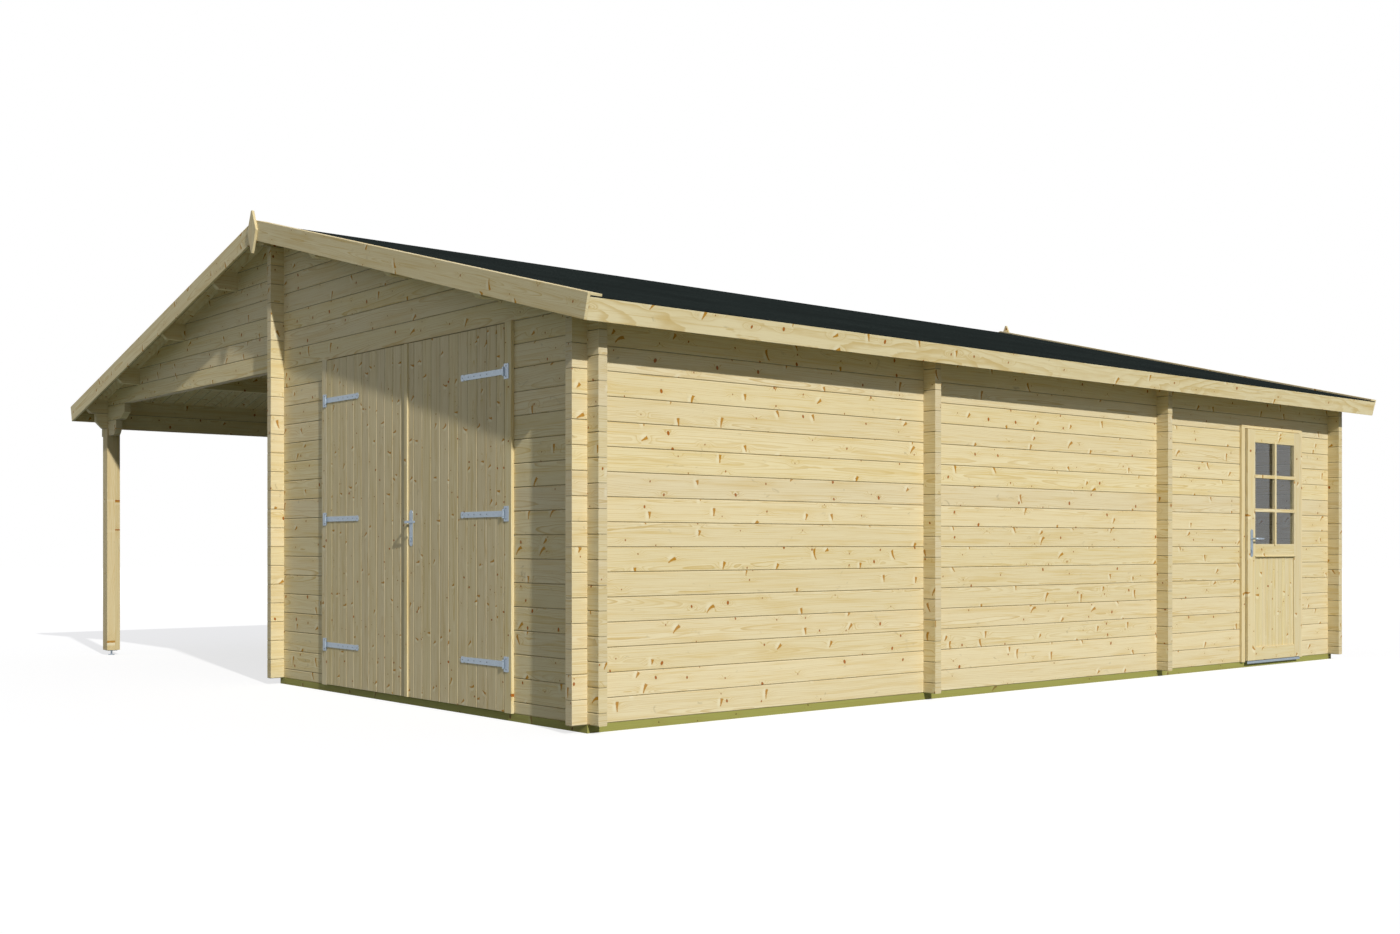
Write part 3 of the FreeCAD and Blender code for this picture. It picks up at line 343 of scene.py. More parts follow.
def fresh_material(name):
    """A new material and a bench on its empty tree."""
    material = bpy.data.materials.new(name)
    material.use_nodes = True
    n = Bench(material.node_tree)
    n.tree.nodes.clear()
    return material, n


def bumped(n, shader, height, strength, distance):
    """Give the shader its relief and join it to the output."""
    bump = n.add("ShaderNodeBump")
    bump.inputs["Strength"].default_value = strength
    bump.inputs["Distance"].default_value = distance
    n.feed(bump.inputs["Height"], height)
    n.feed(shader.inputs["Normal"], bump.outputs[0])
    out = n.add("ShaderNodeOutputMaterial")
    n.feed(out.inputs[0], shader.outputs[0])


def worn_edges(n, reach, low=0.40, high=0.66):
    """Broken patches along the edges, where the rounded normal leaves the plain one."""
    rounded = n.add("ShaderNodeBevel", samples=4)
    rounded.inputs["Radius"].default_value = reach
    plain = n.add("ShaderNodeNewGeometry").outputs["Normal"]
    same = n.add("ShaderNodeVectorMath", operation="DOT_PRODUCT")
    n.feed(same.inputs[0], rounded.outputs[0])
    n.feed(same.inputs[1], plain)
    edge = n.step_between(same.outputs["Value"], 0.99, 0.90)
    where = n.add("ShaderNodeTexCoord").outputs["Object"]
    return n.times(edge, n.step_between(n.noise(where, 34.0, 4.0, 0.6), low, high))


def timber(name, layout, colours=SPRUCE):
    """A timber finish; layout gives along, across, depth and board, and may add painted shade for
    the grooves and ends.
    """
    material, n = fresh_material(name)
    laid = layout(n)
    grain = n.add("ShaderNodeGroup", node_tree=GRAIN)
    for socket, value in zip(grain.inputs, laid[:4]):
        n.feed(socket, value)
    g = grain.outputs
    wood = n.blend(n.times(g["Rings"], colours["show"]), colours["early"], colours["late"])
    wood = n.blend(n.step_between(g["Stain"], 0.48, 0.76, 0.0, 0.50), wood, colours["warm"])
    wood = n.blend(n.step_between(g["Streak"], 0.52, 0.74, 0.0, 0.62), wood, colours["warm"])
    wood = n.blend(n.step_between(g["Fibre"], 0.42, 0.75, 0.0, 0.20), wood, colours["late"])
    wood = n.blend(n.times(g["Halo"], 0.22), wood, colours["warm"])
    wood = n.blend(n.times(g["Smudge"], 0.55), wood, colours["smudge"])
    # Painted highlight: a pale patch beside each spike knot.
    wood = n.blend(n.times(g["Spike highlight"], 0.60), wood, colours["pale"])
    wood = n.blend(n.times(g["Spike"], 0.94), wood, colours["spike"])
    wood = n.blend(g["Knot"], wood, colours["knot"])
    wood = n.blend(n.times(g["Knot rim"], 0.50), wood, colours["rim"])
    tone = n.add("ShaderNodeHueSaturation")
    n.feed(tone.inputs["Hue"], n.plus(0.4990, n.times(g["Warmth"], 0.003)))
    n.feed(tone.inputs["Saturation"], n.plus(0.965, n.times(g["Warmth"], 0.09)))
    n.feed(tone.inputs["Value"], n.plus(0.955, n.times(g["Tone"], 0.09)))
    n.feed(tone.inputs["Color"], wood)
    shade = n.blend(n.times(worn_edges(n, 0.0035), 0.45), tone.outputs[0], colours["pale"])
    # The fifth layout value paints shade into the grooves between logs and boards.
    if len(laid) > 4:
        shade = n.blend(laid[4], shade, colours["painted_groove_shade"])
    if len(laid) > 5:
        shade = n.blend(laid[5], shade, LOG_END_SHADE, "MULTIPLY")
    shader = n.add("ShaderNodeBsdfPrincipled")
    n.feed(shader.inputs["Base Color"], shade)
    n.feed(shader.inputs["Roughness"], n.plus(colours["gloss"], n.times(g["Fibre"], 0.22)))
    shader.inputs["Specular IOR Level"].default_value = 0.30
    bumped(n, shader, g["Height"], 0.45, 0.0006)
    return material


# Where each board lies: along, across and through it, and its number
def wrapped(n, value, period, start=0.0):
    """The number of the strip that holds value, and the place inside it from its middle."""
    shifted = n.math("DIVIDE", n.minus(value, start), period)
    number = n.math("FLOOR", shifted)
    inside = n.times(n.minus(n.minus(shifted, number), 0.5), period)
    return number, inside


def painted_log_groove_shade(n, across):
    """Painted shade in the groove between logs: a band at each log's lower edge, where it meets the
    log below, and a thin line at its upper edge.
    """
    under = n.step_between(across, -COURSE / 2 + 0.0042, -COURSE / 2 + 0.0026)
    over = n.step_between(across, COURSE / 2 - 0.0016, COURSE / 2 - 0.0006)
    return n.times(n.math("MAXIMUM", under, over), 0.66)


def logs_across(n):
    """Logs that run from side to side, stacked half a course lower than the others."""
    x, y, z = n.place()
    east = n.facing()[0]
    course, across = wrapped(n, z, COURSE, WALL_FOOT - COURSE / 2)
    line, depth = wrapped(n, y, BAY)
    end = n.math("GREATER_THAN", n.math("ABSOLUTE", east), 0.6)
    board = n.plus(course, n.times(line, 37.0))
    # The fifth value is painted shade along the grooves between the logs.
    return (n.choose(end, x, n.times(depth, 1.2)), across, n.choose(end, depth, 0.022), board,
            painted_log_groove_shade(n, across), end)


def logs_along(n):
    """Logs that run from the front to the back."""
    x, y, z = n.place()
    north = n.facing()[1]
    course, across = wrapped(n, z, COURSE, WALL_FOOT)
    line, depth = wrapped(n, x, WALL_SPACING, -WALL_SPACING / 2)
    end = n.math("GREATER_THAN", n.math("ABSOLUTE", north), 0.6)
    board = n.plus(course, n.times(n.plus(line, 5.0), 53.0))
    # The fifth value is painted shade along the grooves between the logs.
    return (n.choose(end, y, n.times(depth, 1.2)), across, n.choose(end, depth, 0.022), board,
            painted_log_groove_shade(n, across), end)


def purlin_logs(n):
    """Three single logs on each side of the ridge, from the front to the back."""
    x, y, z = n.place()
    line, depth = wrapped(n, n.math("ABSOLUTE", x), PURLIN_STEP, PURLIN_X - PURLIN_STEP / 2)
    across = wrapped(n, z, COURSE, WALL_FOOT + COURSE / 2)[1]
    side = n.math("GREATER_THAN", x, 0.0)
    return y, across, depth, n.plus(n.times(line, 11.0), n.plus(211.0, n.times(side, 40.0)))


def slope_boards(n):
    """Boards that run down the slope, side by side from the front to the back."""
    x, y, z = n.place()
    number, across = wrapped(n, y, BOARD_PITCH, -HALF_DEPTH)
    side = n.math("GREATER_THAN", x, 0.0)
    edge = BOARD_PITCH / 2
    # Painted shade along the grooves between the roof boards.
    painted_groove_shade = n.step_between(n.math("ABSOLUTE", across), edge - 0.0030, edge - 0.0010)
    return (n.math("ABSOLUTE", x), across, n.times(z, 0.2), n.plus(number, n.times(side, 170.0)),
            n.times(painted_groove_shade, 0.8))


def barge_board(n):
    """Boards that follow the slope over both gables."""
    x, y, z = n.place()
    run = n.math("ABSOLUTE", x)
    below = n.minus(RIDGE_Z, z)
    along = n.minus(n.times(run, SLOPE_COS), n.times(below, -SLOPE_SIN))
    across = n.minus(n.times(below, SLOPE_COS), n.times(run, SLOPE_SIN))
    side = n.math("GREATER_THAN", x, 0.0)
    end = n.math("GREATER_THAN", y, 0.0)
    depth = wrapped(n, y, BARGE_SPACING)[1]
    board = n.plus(n.plus(301.0, n.times(side, 7.0)), n.times(end, 3.0))
    return along, n.minus(across, 0.030), n.times(depth, 0.2), board


def eave_board(n):
    """One long board under the felt's edge on each side."""
    x, y, z = n.place()
    side = n.math("GREATER_THAN", x, 0.0)
    return y, n.minus(z, 2.2), n.times(x, 0.2), n.plus(331.0, n.times(side, 5.0))


def upright(n):
    """Posts and uprights: the grain runs up, and every separate place has its own number."""
    x, y, z = n.place()
    left = n.math("FLOOR", n.times(x, 1.7))
    back = n.math("FLOOR", n.times(y, 0.75))
    depth = wrapped(n, y, BAY)[1]
    across = wrapped(n, x, 0.31)[1]
    return z, across, depth, n.plus(n.plus(400.0, n.times(left, 3.0)), n.times(back, 19.0))


def door_boards(n):
    """Upright boards of the double door, with level ledges behind them."""
    x, y, z = n.place()
    side = n.math("GREATER_THAN", x, DOOR_MIDDLE_X)
    centre = n.plus(LEFT_LEAF_X, n.times(side, LEAF_STEP))
    number, across = wrapped(n, n.minus(x, centre), DOOR_BOARD, -5.5 * DOOR_BOARD)
    ledge = n.math("GREATER_THAN", y, LEDGE_FRONT)
    board = n.plus(n.plus(500.0, number), n.times(side, 23.0))
    level = n.plus(560.0, n.math("FLOOR", n.times(z, 1.5)))
    # Painted shade in the grooves between the upright boards.
    edge = n.step_between(n.math("ABSOLUTE", across), 0.0505, 0.0518)
    painted_board_groove_shade = n.times(edge, n.minus(1.0, ledge))
    # the door's narrow boards show a finer grain than the logs
    run = n.times(n.choose(ledge, z, x), DOOR_GRAIN)
    aside = n.times(n.choose(ledge, across, n.minus(z, n.math("ROUND", z))), DOOR_GRAIN)
    return run, aside, n.plus(y, 4.06), n.choose(ledge, board, level), n.times(painted_board_groove_shade, 0.7)


def side_leaf_wood(n):
    """Stiles and panel boards upright, rails level."""
    x, y, z = n.place()
    off = n.minus(y, SIDE_DOOR_Y)
    stile = n.math("GREATER_THAN", n.math("ABSOLUTE", off), STILE_INSIDE)
    low = n.math("LESS_THAN", z, PANEL_FOOT)
    middle = n.times(n.math("GREATER_THAN", z, PANEL_HEAD), n.math("LESS_THAN", z, PANE_FOOT))
    top = n.math("GREATER_THAN", z, PANE_HEAD)
    rail = n.times(n.plus(n.plus(low, middle), top), n.minus(1.0, stile))
    number, across = wrapped(n, off, PANEL_BOARD, -PANEL_BOARD / 2)
    hand = n.math("GREATER_THAN", off, 0.0)
    side = n.plus(601.0, n.times(hand, 3.0))
    panel = n.plus(610.0, number)
    rails = n.plus(640.0, n.math("FLOOR", n.times(z, 2.0)))
    board = n.choose(rail, n.choose(stile, panel, side), rails)
    width = n.choose(stile, across, n.minus(n.math("ABSOLUTE", off), STILE_MIDDLE))
    framed = n.math("MAXIMUM", rail, stile)
    # Painted shade in the grooves between the panel boards.
    edge = n.step_between(n.math("ABSOLUTE", across), 0.0243, 0.0262)
    painted_board_groove_shade = n.times(edge, n.minus(1.0, framed))
    return (n.choose(rail, z, y), n.choose(rail, width, n.minus(z, n.math("ROUND", z))),
            n.minus(x, 3.77), board, n.times(painted_board_groove_shade, 0.45))


def side_frame_wood(n):
    """Uprights beside the side door, and the head piece over it."""
    x, y, z = n.place()
    head = n.math("GREATER_THAN", z, HEAD_PIECE_FOOT)
    hand = n.math("GREATER_THAN", y, SIDE_DOOR_Y)
    off = n.minus(n.math("ABSOLUTE", n.minus(y, SIDE_DOOR_Y)), FRAME_UPRIGHT)
    across = n.choose(head, off, n.minus(z, HEAD_PIECE_MIDDLE))
    board = n.plus(n.plus(670.0, n.times(hand, 4.0)), n.times(head, 9.0))
    return n.choose(head, z, y), across, n.minus(x, 3.75), board


def pane_bar_wood(n):
    """One upright bar over the glass, and level ones on both its sides."""
    x, y, z = n.place()
    off = n.minus(y, SIDE_DOOR_Y)
    bar_up = n.math("LESS_THAN", n.math("ABSOLUTE", off), 0.0141)
    aside = n.choose(bar_up, n.times(n.minus(z, 1.4), 0.2), off)
    board = n.plus(690.0, n.math("FLOOR", n.times(z, 3.0)))
    return n.choose(bar_up, y, z), aside, n.minus(x, 3.78), board


def foundation_side(n):
    """Treated beams under the walls that run from the front to the back."""
    x, y, z = n.place()
    side = n.math("GREATER_THAN", x, 2.0)
    depth = n.minus(x, n.times(side, WALL_SPACING))
    return y, n.minus(z, 0.02), depth, n.plus(710.0, n.times(side, 3.0))


def foundation_end(n):
    """Treated beams under the walls that run from side to side."""
    x, y, z = n.place()
    line, depth = wrapped(n, y, BAY)
    return x, n.minus(z, 0.02), depth, n.plus(720.0, line)


def roofing_felt():
    """Bitumen felt faced with dark slate grains."""
    material, n = fresh_material("slate-faced roofing felt")
    where = n.add("ShaderNodeTexCoord").outputs["Object"]
    grains = n.add("ShaderNodeTexVoronoi", feature="F1")
    n.feed(grains.inputs["Vector"], where)
    grains.inputs["Scale"].default_value = 420.0
    split = n.add("ShaderNodeSeparateColor")
    n.feed(split.inputs[0], grains.outputs["Color"])
    patches = n.noise(where, 1.4, 4.0, 0.55)
    colour = n.blend(split.outputs[0], (0.010, 0.014, 0.013, 1), (0.028, 0.036, 0.034, 1))
    sparks = n.step_between(split.outputs[1], 0.94, 0.98, 0.0, 0.7)
    colour = n.blend(sparks, colour, (0.075, 0.084, 0.080, 1))
    clouds = n.step_between(patches, 0.40, 0.65, 0.0, 0.45)
    colour = n.blend(clouds, colour, (0.014, 0.018, 0.017, 1))
    colour = n.blend(n.times(worn_edges(n, 0.004), 0.5), colour, (0.050, 0.052, 0.050, 1))
    shader = n.add("ShaderNodeBsdfPrincipled")
    n.feed(shader.inputs["Base Color"], colour)
    n.feed(shader.inputs["Roughness"], n.plus(0.78, n.times(split.outputs[2], 0.15)))
    shader.inputs["Specular IOR Level"].default_value = 0.0
    bumped(n, shader, n.plus(grains.outputs["Distance"], n.times(patches, 0.5)), 0.6, 0.0012)
    return material


def zinc_steel(name, colour, rough):
    """Galvanised steel with faint spangles and fine rubbing marks."""
    material, n = fresh_material(name)
    where = n.add("ShaderNodeTexCoord").outputs["Object"]
    spangle = n.add("ShaderNodeTexVoronoi", feature="F1")
    n.feed(spangle.inputs["Vector"], where)
    spangle.inputs["Scale"].default_value = 160.0
    split = n.add("ShaderNodeSeparateColor")
    n.feed(split.inputs[0], spangle.outputs["Color"])
    rub = n.noise(where, 900.0, 2.0, 0.6)
    dull = tuple(0.80 * part for part in colour[:3]) + (1,)
    worn = worn_edges(n, 0.0015, 0.30, 0.60)
    bright = tuple(min(1.0, 1.5 * part) for part in colour[:3]) + (1,)
    shader = n.add("ShaderNodeBsdfPrincipled")
    steel = n.blend(n.times(split.outputs[0], 0.6), colour, dull)
    n.feed(shader.inputs["Base Color"], n.blend(n.times(worn, 0.5), steel, bright))
    uneven = n.plus(n.times(split.outputs[1], 0.10), n.times(rub, 0.08))
    n.feed(shader.inputs["Roughness"], n.plus(rough, uneven))
    shader.inputs["Metallic"].default_value = 0.85
    bumped(n, shader, rub, 0.15, 0.0002)
    return material


def pane_glass():
    """Clear float glass with the faintest waviness."""
    material, n = fresh_material("window glass")
    where = n.add("ShaderNodeTexCoord").outputs["Object"]
    shader = n.add("ShaderNodeBsdfPrincipled")
    shader.inputs["Base Color"].default_value = (0.80, 0.84, 0.84, 1)
    shader.inputs["IOR"].default_value = 1.5
    shader.inputs["Transmission Weight"].default_value = 1.0
    n.feed(shader.inputs["Roughness"], n.times(n.noise(where, 6.0, 3.0), 0.025))
    bumped(n, shader, n.noise(where, 3.0, 1.0), 0.01, 0.0005)
    return material


FINISHES = {
    "logs across": timber("spruce logs from side to side", logs_across),
    "logs along": timber("spruce logs from front to back", logs_along),
    "purlins": timber("spruce purlins", purlin_logs),
    "slope boards": timber("spruce roof boards", slope_boards),
    "barge boards": timber("spruce barge boards", barge_board, SPRUCE_TRIM),
    "eave boards": timber("spruce eave boards", eave_board, SPRUCE_TRIM),
    "uprights": timber("spruce uprights", upright),
    "posts": timber("spruce posts", upright, SPRUCE_POST),
    "door boards": timber("spruce boards of the double door", door_boards, SPRUCE_DOOR),
    "side leaf": timber("spruce of the side door", side_leaf_wood, SPRUCE_LEAF),
    "side frame": timber("spruce of the side door's frame", side_frame_wood),
    "pane bars": timber("spruce glazing bars", pane_bar_wood),
    "treated along": timber("pressure-treated beams, front to back", foundation_side, TREATED),
    "treated across": timber("pressure-treated beams, side to side", foundation_end, TREATED),
    "felt": roofing_felt(),
    "screws": zinc_steel("dulled zinc of the screws", (0.13, 0.14, 0.15, 1), 0.55),
    "zinc": zinc_steel("galvanised steel", (0.33, 0.39, 0.45, 1), 0.42),
    "glass": pane_glass(),
}
NODE_FINISH = {
    "logs across": ("front_wall_left", "front_wall_right", "rear_wall", "front_gable",
                    "rear_gable", "cross_logs", "post_head_logs"),
    "logs along": ("right_wall_front", "right_wall_rear", "right_wall_over_door", "ridge_wall",
                   "ridge_log", "carport_beam"),
    "purlins": ("purlins_left", "purlins_right"),
    "slope boards": ("roof_boards_left", "roof_boards_right"),
    "barge boards": ("front_barge_boards", "rear_barge_boards", "cover_strips"),
    "eave boards": ("eave_boards",),
    "uprights": ("finials", "garage_door_jambs", "garage_door_astragal"),
    "posts": ("carport_posts",),
    "door boards": ("garage_door_left", "garage_door_right"),
    "side leaf": ("side_door_leaf",),
    "side frame": ("side_door_frame",),
    "pane bars": ("side_door_bars",),
    "treated along": ("foundation_side_beams",),
    "treated across": ("foundation_end_beams",),
    "felt": ("roof_felt_left", "roof_felt_right"),
    "zinc": ("post_feet", "garage_straps_left", "garage_straps_right", "garage_hinge_plates",
             "garage_door_handle", "side_door_threshold", "side_hinge_frame_halves",
             "side_hinge_leaf_halves", "side_door_handle"),
    "glass": ("side_door_glass",),
}
for finish, names in NODE_FINISH.items():
    for name in names:
        piece = frame["nodes"][name]
        piece.data.materials.clear()
        piece.data.materials.append(FINISHES[finish])


# Pieces finer than the construction: each has its place in its mesh and rides on a body
def add_piece(name, mesh, body, finish):
    """A finished mesh as a piece of its own on a body."""
    mesh.materials.clear()
    mesh.materials.append(FINISHES[finish])
    piece = bpy.data.objects.new(name, mesh)
    bpy.context.scene.collection.objects.link(piece)
    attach(piece, body)
    return piece


def shaped(name, build):
    """A mesh from a function that fills a bmesh, with its faces turned outward."""
    shape = bmesh.new()
    build(shape)
    bmesh.ops.recalc_face_normals(shape, faces=shape.faces)
    mesh = bpy.data.meshes.new(name)
    shape.to_mesh(mesh)
    shape.free()
    return mesh


def on_slope(side, along, above):
    """Across and up of a point along the slope from the ridge and above the boards' underside."""
    out = along * SLOPE_COS + above * SLOPE_SIN
    return side * out, RIDGE_Z - along * SLOPE_SIN + above * SLOPE_COS


def copies_tree():
    """A node tree that sets a shape on every mark, each turned a little at random."""
    tree = bpy.data.node_groups.new("copies on marks", "GeometryNodeTree")
    tree.interface.new_socket("Shape", in_out="INPUT", socket_type="NodeSocketGeometry")
    tree.interface.new_socket("Marks", in_out="INPUT", socket_type="NodeSocketObject")
    tree.interface.new_socket("Turn", in_out="INPUT", socket_type="NodeSocketVector")
    tree.interface.new_socket("Seed", in_out="INPUT", socket_type="NodeSocketInt")
    tree.interface.new_socket("Finish", in_out="INPUT", socket_type="NodeSocketMaterial")
    tree.interface.new_socket("Copies", in_out="OUTPUT", socket_type="NodeSocketGeometry")
    given = tree.nodes.new("NodeGroupInput")
    marks = tree.nodes.new("GeometryNodeObjectInfo")
    copies = tree.nodes.new("GeometryNodeInstanceOnPoints")
    turn = tree.nodes.new("FunctionNodeRandomValue")
    turn.data_type = "FLOAT_VECTOR"
    back = tree.nodes.new("ShaderNodeVectorMath")
    back.operation = "SCALE"
    back.inputs["Scale"].default_value = -1.0
    real = tree.nodes.new("GeometryNodeRealizeInstances")
    finish = tree.nodes.new("GeometryNodeSetMaterial")
    out = tree.nodes.new("NodeGroupOutput")
    join = tree.links.new
    join(given.outputs["Marks"], marks.inputs["Object"])
    join(given.outputs["Turn"], turn.inputs["Max"])
    join(given.outputs["Turn"], back.inputs[0])
    join(back.outputs[0], turn.inputs["Min"])
    join(given.outputs["Seed"], turn.inputs["Seed"])
    join(marks.outputs["Geometry"], copies.inputs["Points"])
    join(given.outputs["Shape"], copies.inputs["Instance"])
    join(turn.outputs["Value"], copies.inputs["Rotation"])
    join(copies.outputs["Instances"], real.inputs["Geometry"])
    join(real.outputs["Geometry"], finish.inputs["Geometry"])
    join(given.outputs["Finish"], finish.inputs["Material"])
    join(finish.outputs["Geometry"], out.inputs["Copies"])
    return tree


COPIES = copies_tree()


def set_on_marks(name, mesh, places, finish, turn=(0.0, 0.0, 0.0), seed=7):
    """A plain mesh with a copy of the shape at every place."""
    points = bpy.data.meshes.new(name + " marks")
    points.from_pydata(places, [], [])
    marks = bpy.data.objects.new(name + " marks", points)
    maker = bpy.data.objects.new(name + " maker", mesh)
    for item in (marks, maker):
        bpy.context.scene.collection.objects.link(item)
    modifier = maker.modifiers.new("copies", "NODES")
    modifier.node_group = COPIES
    sockets = {item.name: item.identifier for item in COPIES.interface.items_tree
               if item.in_out == "INPUT"}
    modifier[sockets["Marks"]] = marks
    modifier[sockets["Turn"]] = turn
    modifier[sockets["Seed"]] = seed
    modifier[sockets["Finish"]] = FINISHES[finish]
    maker.update_tag()
    ready = maker.evaluated_get(bpy.context.evaluated_depsgraph_get())
    plain = bpy.data.meshes.new_from_object(ready)
    plain.name = name
    bpy.data.objects.remove(maker)
    bpy.data.objects.remove(marks)
    return plain


def roof_board_pair(shape):
    """One board on each slope, with the long edges of its underside taken off."""
    half, edge = BOARD_PITCH / 2 - 0.00005, 0.004
    section = [(-half + edge, 0.0), (half - edge, 0.0), (half, edge), (half, ROOF_BOARD),
               (-half, ROOF_BOARD), (-half, edge)]
    for side in (-1, 1):
        ends = []
        for at_ridge in (True, False):
            ring = []
            for across, above in section:
                top = (0.0005 - above * SLOPE_SIN) / SLOPE_COS
                along = top if at_ridge else SLOPE_LENGTH - 0.018
                out, up = on_slope(side, along, above)
                ring.append(shape.verts.new((out, across, up)))
            ends.append(ring)
            shape.faces.new(ring)
        for k in range(6):
            shape.faces.new((ends[0][k], ends[0][k - 1], ends[1][k - 1], ends[1][k]))


rows = [(0.0, -HALF_DEPTH + (k + 0.5) * BOARD_PITCH, 0.0) for k in range(ROOF_BOARDS)]
board_pair = shaped("roof board pair", roof_board_pair)
boards = set_on_marks("roof boards", board_pair, rows, "slope boards")
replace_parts(add_piece("roof_boards", boards, "building", "slope boards"),
            "roof_boards_left", "roof_boards_right")


def felt_sheets(shape):
    """Sheets laid along the eaves, each lapped over the one below, the last one over the ridge."""
    laps = (3.25, 2.33, 1.41, 0.49)
    lower, upper = FELT_TOP - 0.0012, FELT_TOP - 0.0003
    stations = 72
    loops = []
    for k in range(stations + 1):
        y = -HALF_DEPTH + 2 * HALF_DEPTH * k / stations
        loop = []
        for side in (-1, 1):
            edge = [(SLOPE_LENGTH, ROOF_BOARD), (SLOPE_LENGTH, FELT_TOP)]
            for number, lap in enumerate(laps):
                sway = 0.004 * math.sin(0.9 * y + 2.1 * number + side)
                sway += 0.002 * math.sin(3.7 * y + number)
                lift = 0.0002 * math.sin(5.3 * y + 1.7 * number + side)
                edge.append((lap + sway + 0.0015, lower + lift))
                edge.append((lap + sway, upper + lift))
            row = [on_slope(side, along, above) for along, above in edge]
            loop += row if side < 0 else row[::-1]
            if side < 0:
                loop.append((0.0, RIDGE_Z + FELT_TOP / SLOPE_COS - 0.0008))
        loop.append((0.0, RIDGE_Z + ROOF_BOARD / SLOPE_COS))
        loops.append([shape.verts.new((x, y, z)) for x, z in loop])
    count = len(loops[0])
    for first, second in zip(loops, loops[1:]):
        for k in range(count):
            shape.faces.new((first[k], first[k - 1], second[k - 1], second[k]))
    for cap in (loops[0], loops[-1]):
        shape.faces.new(cap)


felt = shaped("roofing felt", felt_sheets)
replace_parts(add_piece("roofing_felt", felt, "building", "felt"),
            "roof_felt_left", "roof_felt_right")


def screw_head(shape):
    """A flat-domed screw head that looks along -Y, with its driver recess."""
    rings = []
    for radius, rise in ((0.0042, 0.0), (0.0038, 0.0008), (0.0017, 0.0012), (0.0011, 0.0004)):
        rings.append([shape.verts.new((radius * math.cos(math.tau * k / SCREW_SIDES), -rise,
                                       radius * math.sin(math.tau * k / SCREW_SIDES)))
                      for k in range(SCREW_SIDES)])
    for lower, upper in zip(rings, rings[1:]):
        for k in range(SCREW_SIDES):
            shape.faces.new((lower[k], lower[k - 1], upper[k - 1], upper[k]))
    shape.faces.new(rings[-1])
    shape.faces.new(rings[0])


for word, pin, way in (("left", LEFT_PIN_X, 1), ("right", RIGHT_PIN_X, -1)):
    tip = pin + way * STRAP_LENGTH
    places = [(tip - way * step, STRAP_FACE, level) for level in STRAP_LEVELS
              for step in SCREWS_FROM_TIP]
    heads = set_on_marks("strap screws " + word, shaped("screw head", screw_head), places, "screws",
                         turn=(0.0, 0.8, 0.0))
    add_piece("strap_screws_" + word, heads, "garage_leaf_" + word, "screws")


def rod(shape, middle, radius, low, high, dome, count=20):
    """An upright round rod with slightly domed ends."""
    cx, cy = middle
    rings = []
    for wide, z in ((radius * 0.55, low), (radius, low + dome), (radius, high - dome),
                    (radius * 0.55, high)):
        rings.append([shape.verts.new((cx + wide * math.cos(math.tau * k / count),
                                       cy + wide * math.sin(math.tau * k / count), z))
                      for k in range(count)])
    for lower, upper in zip(rings, rings[1:]):
        for k in range(count):
            shape.faces.new((lower[k], lower[k - 1], upper[k - 1], upper[k]))
    shape.faces.new(rings[0])
    shape.faces.new(rings[-1])


def slab(shape, outline, put, near, far, ease=0.0006):
    """A flat plate from its outline; put turns flat places and a depth into the model's."""
    middle = (sum(a for a, b in outline) / len(outline), sum(b for a, b in outline) / len(outline))

    def ring(shrink, depth):
        spots = []
        for a, b in outline:
            da, db = a - middle[0], b - middle[1]
            reach = math.hypot(da, db)
            spot = put(a - da / reach * shrink, b - db / reach * shrink, depth)
            spots.append(shape.verts.new(spot))
        return spots

    rings = [ring(0.0, near), ring(0.0, far - ease), ring(ease, far)]
    for lower, upper in zip(rings, rings[1:]):
        for k in range(len(outline)):
            shape.faces.new((lower[k], lower[k - 1], upper[k - 1], upper[k]))
    shape.faces.new(rings[0])
    shape.faces.new(rings[-1])


def rounded_plate(half_wide, half_high, radius, steps=5):
    """The outline of a plate with rounded corners."""
    outline = []
    for corner, (sa, sb) in enumerate([(1, 1), (-1, 1), (-1, -1), (1, -1)]):
        for k in range(steps + 1):
            angle = math.radians(90 * corner + 90 * k / steps)
            outline.append((sa * (half_wide - radius) + radius * math.cos(angle),
                            sb * (half_high - radius) + radius * math.sin(angle)))
    return outline


def hinge_plate_pair(shape):
    """The plates of one level on both jambs, each with two short knuckles and the pin."""
    for pin, way in ((LEFT_PIN_X, -1), (RIGHT_PIN_X, 1)):
        middle = pin + way * PLATE_OFF_PIN
        axis = (pin, LEAF_FRONT - KNUCKLE_RADIUS)
        outline = rounded_plate(PLATE_HALF_WIDE, PLATE_HALF_HIGH, 0.004)
        slab(shape, outline, lambda a, b, depth: (middle + a, LEAF_FRONT - depth, b), 0.0, 0.004)
        for low, high in ((-0.0250, -0.0157), (0.0157, 0.0250)):
            rod(shape, axis, KNUCKLE_RADIUS, low, high, 0.0008)
        rod(shape, axis, PIN_RADIUS, -0.0275, 0.0275, 0.0010)


levels = [(0.0, 0.0, level) for level in STRAP_LEVELS]
plates = set_on_marks("hinge plates", shaped("hinge plate pair", hinge_plate_pair), levels, "zinc")
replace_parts(add_piece("hinge_plates", plates, "building", "zinc"),
            "garage_hinge_plates")
places = [(x, STRAP_FACE, level + step) for x in PLATE_SCREW_X for level in STRAP_LEVELS
          for step in (-PLATE_SCREW_RISE, PLATE_SCREW_RISE)]
heads = set_on_marks("plate screws", shaped("screw head", screw_head), places, "screws",
                     turn=(0.0, 0.8, 0.0), seed=11)
add_piece("hinge_plate_screws", heads, "building", "screws")


